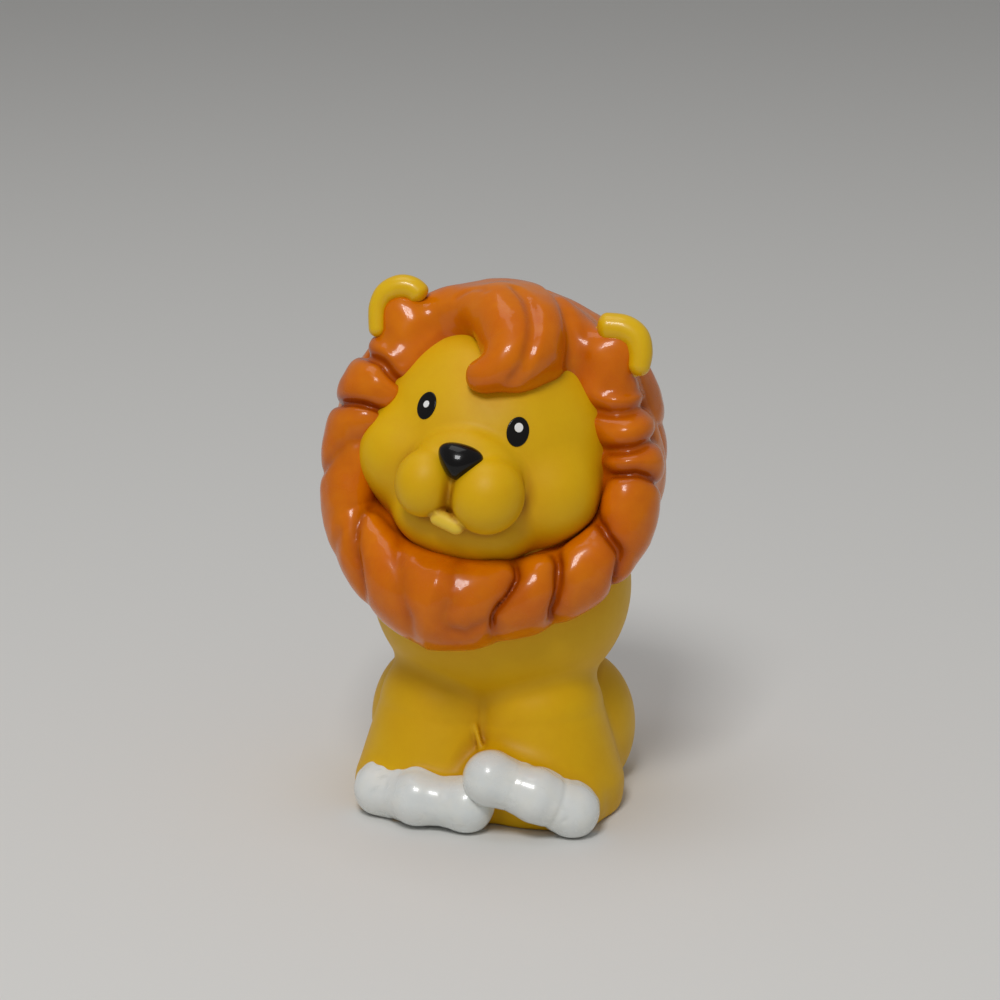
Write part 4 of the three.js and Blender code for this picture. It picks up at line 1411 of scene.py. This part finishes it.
@dataclass
class Mane:
    """The mane with its locks and forelock.

    Attributes are sizes in millimetres, and shares of them. Each row of the rim holds a turn round the
    face in degrees, then the rim's inner and outer radius there, and how far forward its middle is.
    """

    radius: float = MANE_RADIUS
    half_width: float = 20.2
    cap: tuple[float, float] = (6.0, 15.5)
    rim: tuple[tuple[float, float, float, float], ...] = (
        (0, 14.5, 20.2, 2.595), (20, 13.9, 19.9, 2.595), (43, 13.9, 19.5, 2.799),
        (64, 13.8, 19.81, 3.204), (81, 14.9, 21, 3.596), (94, 15.81, 21.51, 3.799),
        (106, 16.32, 22.37, 3.799), (117, 16.16, 22.58, 4.205), (131, 15.5, 22.79, 5.205),
        (141, 14.8, 22.79, 5.8), (157, 14, 23, 6.598), (172, 13.7, 24.28, 7.207),
        (180, 13.81, 24.92, 7.207), (195, 14.3, 23.86, 6.8), (212, 15.2, 22.58, 5.8),
        (229, 15.52, 21.4, 4.8), (245, 13.5, 20.0, 4.393), (259, 11.6, 19.3, 4.205),
        (271, 10.8, 19.1, 4.205), (287, 11.2, 19, 4.103), (305, 13.1, 18.59, 3.596),
        (325, 15.5, 19.2, 3.002), (345, 15.5, 20.1, 2.595),
    )
    rim_depth: float = 1.15
    blend: float = 2.4
    lobe_blend: float = 2.2
    lock: tuple[float, float, float] = (1.4, 1.9, 3.3)
    valley: float = 0.65
    lock_start: tuple[float, float] = (0.06, 0.36)
    edge_calm: float = 0.5
    crest: float = 1.8
    crown_back: float = 3.1
    behind: tuple[float, float] = (1.18, 1.42)
    calm: tuple[float, float, float] = (20.0, 45.0, 0.65)
    strand_radius: float = 2.6
    strand_blend: float = 3.0
    root_blend: float = 2.4
    ear_lobe: Triple = (2.5, 1.4, 2.5)
    ear_sink: float = 0.975

    @property
    def shares(self) -> Array:
        """Gives the millimetres across, forward and up that a place's shares stand for."""
        return np.array((1, -1, 1)) * self.radius

    def rim_at(self, turn: Array) -> tuple[Array, Array, Array]:
        """Gives the rim's middle radius, half width and forward place, at turns in degrees."""
        turns, inner, outer, forward = np.array(self.rim).T
        turns = np.append(turns, 360)
        looped = [np.interp(turn, turns, np.append(row, row[0])) for row in (inner, outer, forward)]
        return (looped[0] + looped[1]) / 2, (looped[1] - looped[0]) / 2, looped[2]

    def round_face(self, points: Array) -> tuple[Array, Array, Array]:
        """Places points round the face and round the mane's section.

        Args:
            points: The points.

        Returns:
            Each point's turn in degrees, its place round the section from 0 at the face to 2 behind,
            and its distance from the rim's surface.
        """
        turn = np.degrees(np.arctan2(points[:, 0], points[:, 2])) % 360
        middle, half, forward = self.rim_at(turn)
        out = (np.hypot(points[:, 0], points[:, 2]) - middle) / half
        back = (points[:, 1] + forward) / (half * self.rim_depth)
        around = np.degrees(np.arctan2(back, out)) / 180 + 1
        return turn, around, (np.hypot(out, back) - 1) * half

    def base(self) -> Field:
        """Gives the field of the mane without its locks."""
        back, deep = self.cap
        cap = ellipsoid((0, back, 0), (self.half_width, deep, self.radius))
        return blend(self.blend, cap, lambda points: self.round_face(points)[2])

    def on_rim(self, path: Sequence[tuple[float, float]]) -> Array:
        """Runs a groove's path over the mane's surface.

        Args:
            path: Turns round the face, and places round the rim's section.

        Returns:
            Points on the surface, close together.
        """
        turn, around = smooth_path(path, 6).T
        middle, half, forward = self.rim_at(turn % 360)
        angle, spin = np.pi * (around - 1), np.radians(turn)
        reach = middle + half * np.cos(angle)
        depth = half * self.rim_depth * np.sin(angle) - forward
        points = np.stack([reach * np.sin(spin), depth, reach * np.cos(spin)], 1)
        return settled(points, self.base(), 0.5, 6)

    def creases(self) -> Field:
        """Gives how far the rim's grooves cut in, as shares of a lock's height."""
        lines = [(self.on_rim(groove.path), groove.depth) for groove in GROOVES]
        gaps = [(rod(line, np.zeros(len(line))), depth) for line, depth in lines]
        _, narrow, wide = self.lock

        def cut(points: Array) -> Array:
            """Gives each point's share of the full cut."""
            deepest = np.zeros(len(points))
            for gap, depth in gaps:
                apart = np.hypot(gap(points), 0.12)
                groove = np.clip(1 - apart / narrow, 0, 1) ** 2
                valley = np.clip(1 - apart / wide, 0, 1) ** 2
                deepest = np.maximum(deepest, depth * (groove + self.valley * (valley - groove)))
            return deepest

        return cut

    def swell(self, row: Row, turn: Array, fall: Array) -> Array:
        """Gives how far a row's locks stand out, as shares of their full height.

        Args:
            row: The row.
            turn: Each point's turn round the crown, in degrees.
            fall: How far down from the crown each point is.

        Returns:
            The share at each point.
        """
        share = np.clip((fall - row.start) / (row.end - row.start), 0, 1)
        start, end = row.turns
        first = start + (end - start) * share + row.curl * np.sin(2 * np.pi * share)
        pitch = 360 / row.count
        side = np.abs(2 * (((turn - first) % pitch) / pitch) - 1)
        along = np.maximum(2 * share - 1, 0)
        tip = np.clip(1 - side**2.2 - along**4, 0, 1)
        wide = np.clip(math.radians(pitch) * self.radius / 6, 0.5, 1.1)
        return np.sqrt(tip) * wide * eased((fall - row.start) / 0.3) * (0.55 + 0.45 * share)

    def back_locks(self, points: Array) -> Array:
        """Gives how far the locks behind the rim stand out at points, in millimetres."""
        x, y, z = points.T
        turn = np.degrees(np.arctan2(x, y - self.crown_back)) % 360
        fall = 2 / np.pi * np.arctan2(np.hypot(x, y - self.crown_back), z)
        rows = [self.swell(row, turn, fall) for row in ROWS]
        return self.crest * np.maximum.reduce(rows)

    def shape(self) -> Field:
        """Gives the field of the whole mane."""
        sunk = self.radius * self.ear_sink
        lobe = np.array(self.ear_lobe)
        lobes = [ellipsoid(np.multiply(ear.place, sunk), lobe * ear.size) for ear in EARS]
        base, fringe, creases = self.base(), self.forelock(), self.creases()
        crown, spread, calm = self.calm

        def distance(points: Array) -> Array:
            """Gives each point's distance from the locks."""
            turn, around, _ = self.round_face(points)
            start, end = self.lock_start
            near, far = self.behind
            ahead = eased((far - around) / (far - near))
            rise = eased((around - start) / (end - start)) * ahead
            calmer = 1 - calm * np.exp(-((((turn - crown + 180) % 360 - 180) / spread) ** 2))
            edge = np.clip((around - 0.72) / 0.3, 0, 1) * np.exp(-(((turn - 180) / 55) ** 2))
            front = self.lock[0] * rise * calmer * (1 - creases(points) * (1 - self.edge_calm * edge))
            return base(points) - front - self.back_locks(points) * (1 - ahead)

        whole = blend(self.root_blend, blend(self.lobe_blend, distance, *lobes), fringe)
        lines = [settled(np.multiply(fold.places, self.shares), whole, 0.8, 6) for fold in FOLDS]
        folds = [(rod(line, np.zeros(len(line))), fold) for line, fold in zip(lines, FOLDS)]

        def scored(points: Array) -> Array:
            """Gives each point's distance from the mane with its folds."""
            result = whole(points)
            for gap, fold in folds:
                result += fold.depth * np.clip(1 - np.abs(gap(points)) / fold.width, 0, 1) ** 2
            return result

        return scored

    def forelock(self) -> Field:
        """Gives the field of the forelock's strands, laid on broad roots."""
        groups = [[self.strand(strand) for strand in group] for group in (ROOTS, STRANDS)]
        return blend(self.strand_blend, *(blend(self.strand_blend, *group) for group in groups))

    def strand(self, places: Sequence[Sequence[float]]) -> Field:
        """Gives the field of one strand."""
        path = smooth_path(places, 5)
        return rod(path[:, :3] * self.shares, path[:, 3] * self.strand_radius)

    def build(self, paints: Paintbox) -> None:
        """Makes and dresses the mane."""
        shape = wavy(HEAD.place(self.shape()), 7.0, 0.05, 0.7)
        mane = Sculpt(shape, (-26, -22, 16), (27, 26, 72), 0.34).build("mane_paint")
        paints.dress(mane, MANE_PAINT, "mane", "forelock")


# Ears and tail, swept by geometry nodes


class Sweep(Enum):
    """The node groups that sweep tubes."""

    EAR = "ear_rim"
    TAIL = "tail_tube"


@dataclass
class SweepTrees:
    """Geometry node groups for the swept pieces.

    Attributes:
        made: The groups made so far.
    """

    made: dict[Sweep, bpy.types.NodeTree] = field(default_factory=dict)

    def finish(self, wiring: Wiring, mesh: object, material: object) -> None:
        """Ends a tree with a smooth, real and painted mesh."""
        smooth = wiring.add("GeometryNodeSetShadeSmooth", {"Geometry": mesh}).outputs[0]
        real = wiring.add("GeometryNodeRealizeInstances", {0: smooth}).outputs[0]
        painted = wiring.add("GeometryNodeSetMaterial", {"Geometry": real, "Material": material})
        wiring.add("NodeGroupOutput", {"Geometry": painted.outputs[0]})

    def tube(self, wiring: Wiring, path: object, radius: object, sides: int) -> Socket:
        """Sweeps a circle of a given radius along a path."""
        sized = wiring.add("GeometryNodeSetCurveRadius", {"Curve": path, "Radius": radius}).outputs[0]
        ring = {"Resolution": sides, "Radius": 1.0}
        circle = wiring.add("GeometryNodeCurvePrimitiveCircle", ring).outputs[0]
        scale = wiring.add("GeometryNodeInputRadius").outputs[0]
        inputs = {"Curve": sized, "Profile Curve": circle, "Fill Caps": True}
        node = wiring.add("GeometryNodeCurveToMesh", inputs)
        if "Scale" in node.inputs:
            wiring.tree.links.new(scale, node.inputs["Scale"])
        return node.outputs[0]

    def round_ends(self, wiring: Wiring, cap: object) -> Socket:
        """Gives a share of the radius that rounds off both ends of a path."""
        along = wiring.add("GeometryNodeSplineParameter").outputs["Factor"]
        nearest = wiring.maths("MINIMUM", along, wiring.maths("SUBTRACT", 1.0, along))
        held = wiring.maths("MINIMUM", wiring.maths("DIVIDE", nearest, cap), 0.99)
        inward = wiring.maths("SUBTRACT", 1.0, held)
        square = wiring.maths("MULTIPLY", inward, inward)
        round_share = wiring.maths("SQRT", wiring.maths("SUBTRACT", 1.0, square))
        return wiring.maths("MAXIMUM", round_share, 0.06)

    def line(self, wiring: Wiring, entry: object, count: int) -> Socket:
        """Runs a tube along a line of points, sized by their own thickness."""
        line = wiring.add("GeometryNodeMeshToCurve", {0: entry["Geometry"]}).outputs[0]
        spline = wiring.add("GeometryNodeCurveSplineType", {"Curve": line}, spline_type="CATMULL_ROM")
        smooth = spline.outputs[0]
        path = wiring.add("GeometryNodeResampleCurve", {"Curve": smooth, "Count": count}).outputs[0]
        thick = wiring.add("GeometryNodeInputNamedAttribute", {"Name": "thick"}, data_type="FLOAT")
        radius = wiring.maths("MULTIPLY", thick.outputs[0], self.round_ends(wiring, entry["Cap"]))
        return self.tube(wiring, path, radius, 32)

    def ear(self) -> bpy.types.NodeTree:
        """Builds the tree of an ear: a rim along a line of points, and a domed web behind it."""
        if Sweep.EAR in self.made:
            return self.made[Sweep.EAR]
        inputs = {"Geometry": (GEOMETRY, None), "Material": (MATERIAL, None), "Cap": (NUMBER, 0.1)}
        inputs |= {"Web": (VECTOR, (3.5, 1.7, 3.5)), "Web Place": (VECTOR, (0, 0, 0))}
        wiring = new_group(Sweep.EAR.value, "GeometryNodeTree", inputs, {"Geometry": GEOMETRY})
        entry = wiring.add("NodeGroupInput").outputs
        rim = self.line(wiring, entry, 96)
        ball = wiring.add("GeometryNodeMeshUVSphere", {"Segments": 48, "Rings": 24, "Radius": 1.0})
        placed = {"Geometry": ball.outputs[0], "Scale": entry["Web"], "Translation": entry["Web Place"]}
        web = wiring.add("GeometryNodeTransform", placed).outputs[0]
        whole = wiring.add("GeometryNodeJoinGeometry")
        wiring.tree.links.new(rim, whole.inputs[0])
        wiring.tree.links.new(web, whole.inputs[0])
        self.finish(wiring, whole.outputs[0], entry["Material"])
        self.made[Sweep.EAR] = wiring.tree
        return wiring.tree

    def tail(self) -> bpy.types.NodeTree:
        """Builds the tree of a tube along a line of points, sized by their radius attribute."""
        if Sweep.TAIL in self.made:
            return self.made[Sweep.TAIL]
        inputs = {"Geometry": (GEOMETRY, None), "Material": (MATERIAL, None), "Cap": (NUMBER, 0.08)}
        wiring = new_group(Sweep.TAIL.value, "GeometryNodeTree", inputs, {"Geometry": GEOMETRY})
        entry = wiring.add("NodeGroupInput").outputs
        self.finish(wiring, self.line(wiring, entry, 90), entry["Material"])
        self.made[Sweep.TAIL] = wiring.tree
        return wiring.tree

    @staticmethod
    def bake(
        source: bpy.types.Object, tree: bpy.types.NodeTree, values: dict[str, object], name: str
    ) -> bpy.types.Object:
        """Runs a tree on an object and keeps the result as a plain mesh.

        Args:
            source: The object that the tree starts from.
            tree: The tree.
            values: Its inputs, by name.
            name: The piece's name.

        Returns:
            The piece.
        """
        modifier = source.modifiers.new("sweep", "NODES")
        modifier.node_group = tree
        for item in tree.interface.items_tree:
            if item.item_type == "SOCKET" and item.in_out == "INPUT" and item.name in values:
                modifier[item.identifier] = values[item.name]
        graph = bpy.context.evaluated_depsgraph_get()
        mesh = bpy.data.meshes.new_from_object(source.evaluated_get(graph), depsgraph=graph)
        source.modifiers.remove(modifier)
        bpy.data.objects.remove(source)
        mesh.name = name
        made = bpy.data.objects.new(name, mesh)
        bpy.context.scene.collection.objects.link(made)
        return made


def line_object(
    name: str, places: Iterable[Sequence[float]], thick: Sequence[float]
) -> bpy.types.Object:
    """Makes a line of points that carry a radius.

    Args:
        name: The object's name.
        places: The points.
        thick: The radius at each.

    Returns:
        The object.
    """
    rows = [tuple(place) for place in places]
    mesh = bpy.data.meshes.new(name)
    mesh.from_pydata(rows, [(i, i + 1) for i in range(len(rows) - 1)], [])
    write(mesh, "thick", thick)
    made = bpy.data.objects.new(name, mesh)
    bpy.context.scene.collection.objects.link(made)
    return made


@dataclass
class Ears:
    """Both ears.

    Attributes are sizes in millimetres, and shares of them.
    """

    web: Triple = (3.6, 2.0, 3.6)
    web_back: float = 1.35

    def build(self, paints: Paintbox, trees: SweepTrees) -> None:
        """Makes and dresses both ears."""
        for ear in EARS:
            middle = np.multiply(ear.place, MANE_RADIUS)
            path = [(across * MANE_RADIUS, middle[1], up * MANE_RADIUS) for across, up, _ in ear.rim]
            thick = [radius for *_, radius in ear.rim]
            length = sum(math.dist(start, end) for start, end in zip(path, path[1:]))
            values = {
                "Web": [size * ear.size for size in self.web],
                "Web Place": [middle[0], middle[1] + self.web_back * ear.size, middle[2]],
                "Cap": min(thick) / length,
                "Material": paints.material(EAR_PAINT),
            }
            source = line_object(f"{ear.name}_line", path, thick)
            made = trees.bake(source, trees.ear(), values, f"{ear.name}_rim")
            made.data.transform(HEAD.to_metres())
            paints.dress(made, EAR_PAINT, ear.name)


@dataclass
class Tail:
    """The tail up the middle of the back, and its tuft.

    Attributes are sizes in millimetres, and shares of the chest's half width and of the height of
    the mane's lowest edge. Each row of a strand holds how far along the tuft it is, its drift to the
    side and its thickness.
    """

    radius: float = 2.0
    tuft_radius: float = 3.4
    tuft_length: float = 9.0
    mane_foot: float = 24.7
    places: tuple[Triple, ...] = (
        (0, 0.115, 1), (0.14, 0.277, 1), (0.26, 0.46, 0.95), (0.22, 0.62, 0.88), (0.1, 0.75, 0.8),
    )
    strand_rows: tuple[Triple, ...] = (
        (0, 0, 0.5), (0.3, -0.06, 0.8), (0.6, -0.12, 0.8), (1, -0.2, 0.3),
    )
    tuft_fan: float = 0.085

    def on_back(self, torso: Field, across: float, up: float, radius: float) -> Array:
        """Gives a place on the back, raised by half a radius."""
        start = np.array([across * CHEST_HALF_WIDTH, 0, up * self.mane_foot])
        distance = 40.0
        for _ in range(60):
            distance -= 0.75 * float(torso((start + (0, distance, 0))[None])[0])
        return start + (0, distance + radius / 2, 0)

    def build(self, paints: Paintbox, trees: SweepTrees, torso: Field) -> None:
        """Makes and dresses the tail and its tuft."""
        places = [self.on_back(torso, across, up, self.radius) * MM for across, up, _ in self.places]
        thick = [share * self.radius * MM for *_, share in self.places]
        source = line_object("tail_line", places, thick)
        values = {"Cap": 0.1, "Material": paints.material(VINYL)}
        tail = trees.bake(source, trees.tail(), values, "tail_tube")
        paints.dress(tail, VINYL, "tail")
        tuft = Sculpt(self.tuft(torso), (-8, 8, 15), (9, 26, 36), 0.22).build("tail_tuft_paint")
        paints.dress(tuft, MANE_PAINT, "tail_tuft")

    def tuft(self, torso: Field) -> Field:
        """Gives the field of the tuft, five strands drawn to a point."""
        across, up, _ = self.places[-1]
        strands = []
        for lean in (-1.0, -0.5, 0.0, 0.5, 1.0):
            rows = []
            for along, drift, share in self.strand_rows:
                fan = lean * math.sin(math.pi * along) * self.tuft_fan
                rise = up + along * self.tuft_length / self.mane_foot
                spot = self.on_back(torso, across + drift + fan, rise, self.tuft_radius)
                rows.append((*spot, share * self.tuft_radius * (0.8 - 0.15 * abs(lean))))
            path = smooth_path(rows, 5)
            strands.append(rod(path[:, :3], path[:, 3]))
        return furrowed(0.4, 0.4, 0.6, *strands)


@dataclass
class BasePlug:
    """The disc that closes the underside.

    Attributes are sizes in millimetres.
    """

    radius: float = 9.2
    thickness: float = 1.5
    groove: float = 7.4
    groove_depth: float = 0.35
    gate: float = 0.9

    def build(self, paints: Paintbox) -> None:
        """Makes and dresses the plug, with a shallow ring groove and the mark of its gate."""
        disc = overlap_of(0.3, column(self.radius, self.thickness), above(0))

        def cuts(points: Array) -> Array:
            """Gives each point's distance from the groove and the gate's dimple."""
            reach = np.hypot(points[:, 0], points[:, 1])
            ring = np.hypot(reach - self.groove, points[:, 2]) - self.groove_depth
            dimple = np.hypot(reach, points[:, 2] + self.gate) - 1.4 * self.gate
            return np.minimum(ring, dimple)

        shape = overlap_of(0.12, disc, inverse(cuts))
        made = Sculpt(shape, (-10, -10, -0.6), (10, 10, 2.4), 0.16).build("base_disc")
        paints.dress(made, PLUG_VINYL, "base_plug")


# Stage


@dataclass(frozen=True)
class Lamp:
    """A square soft lamp.

    Attributes:
        name: Its name.
        place: Where it hangs, in metres.
        size: The length of its sides, in metres.
        power: Its power in watts.
    """

    name: str
    place: Triple
    size: float
    power: float


@dataclass
class Studio:
    """The floor, the lights and the camera.

    Attributes are in metres and degrees.
    """

    azimuth: float = 9.0
    elevation: float = 16.0
    distance: float = 0.36
    lens: float = 102.0
    target: Triple = (0.0006, 0.0, 0.039)
    floor_colour: tuple[int, int, int] = (222, 221, 218)
    floor_reach: float = 6.0
    even_light: float = 0.27
    lit: Triple = (0.0, 0.0, 0.035)
    lamps: tuple[Lamp, ...] = (
        Lamp("key", (-0.03, -0.42, 0.56), 0.17, 1.9),
        Lamp("sky", (-0.12, 0.06, 0.9), 0.5, 1.4),
    )

    def camera(self) -> None:
        """Sets the camera at the photograph's viewing angle."""
        turn, rise = math.radians(self.azimuth), math.radians(self.elevation)
        level = math.cos(rise)
        back = Vector((math.sin(turn) * level, -math.cos(turn) * level, math.sin(rise)))
        data = bpy.data.cameras.new("camera")
        data.lens, data.sensor_width, data.clip_start, data.clip_end = self.lens, 36, 0.01, 20
        eye = bpy.data.objects.new("camera", data)
        eye.location = Vector(self.target) + back * self.distance
        eye.rotation_mode = "QUATERNION"
        eye.rotation_quaternion = (-back).to_track_quat("-Z", "Y")
        bpy.context.scene.collection.objects.link(eye)
        bpy.context.scene.camera = eye

    def hang(self, lamp: Lamp) -> None:
        """Hangs a lamp that faces the figure."""
        data = bpy.data.lights.new(lamp.name, "AREA")
        data.size, data.energy = lamp.size, lamp.power
        made = bpy.data.objects.new(lamp.name, data)
        made.location = lamp.place
        made.rotation_mode = "QUATERNION"
        made.rotation_quaternion = (Vector(self.lit) - Vector(lamp.place)).to_track_quat("-Z", "Y")
        bpy.context.scene.collection.objects.link(made)

    def floor(self) -> None:
        """Lays a wide pale floor."""
        mesh = bpy.data.meshes.new("floor")
        signs = ((-1, -1), (1, -1), (1, 1), (-1, 1))
        corners = [(x * self.floor_reach, y * self.floor_reach, 0) for x, y in signs]
        mesh.from_pydata(corners, [], [(0, 1, 2, 3)])
        made = bpy.data.objects.new("floor", mesh)
        bpy.context.scene.collection.objects.link(made)
        material = bpy.data.materials.new("pale_floor")
        material.use_nodes = True
        skin = material.node_tree.nodes["Principled BSDF"]
        skin.inputs["Base Color"].default_value = linear(*self.floor_colour)
        skin.inputs["Roughness"].default_value = 0.9
        mesh.materials.append(material)

    def world(self) -> None:
        """Sets a plain white surround that lights the figure evenly."""
        world = bpy.data.worlds.new("surround")
        world.use_nodes = True
        sky = world.node_tree.nodes["Background"]
        sky.inputs["Color"].default_value = (1, 1, 1, 1)
        sky.inputs["Strength"].default_value = self.even_light
        bpy.context.scene.world = world

    def build(self) -> None:
        """Makes the stage."""
        self.floor()
        self.world()
        for lamp in self.lamps:
            self.hang(lamp)
        self.camera()
        bpy.context.scene.view_settings.view_transform = "Standard"


def main() -> None:
    logging.basicConfig(level=logging.INFO, format="%(name)s: %(message)s")
    paints, trees, body = Paintbox(), SweepTrees(), Body()
    body.build(paints)
    BasePlug().build(paints)
    Tail().build(paints, trees, body.torso())
    Head().build(paints)
    Mane().build(paints)
    Ears().build(paints, trees)
    Studio().build()
    LOG.info("box sizes written")


if __name__ == "__main__":
    main()
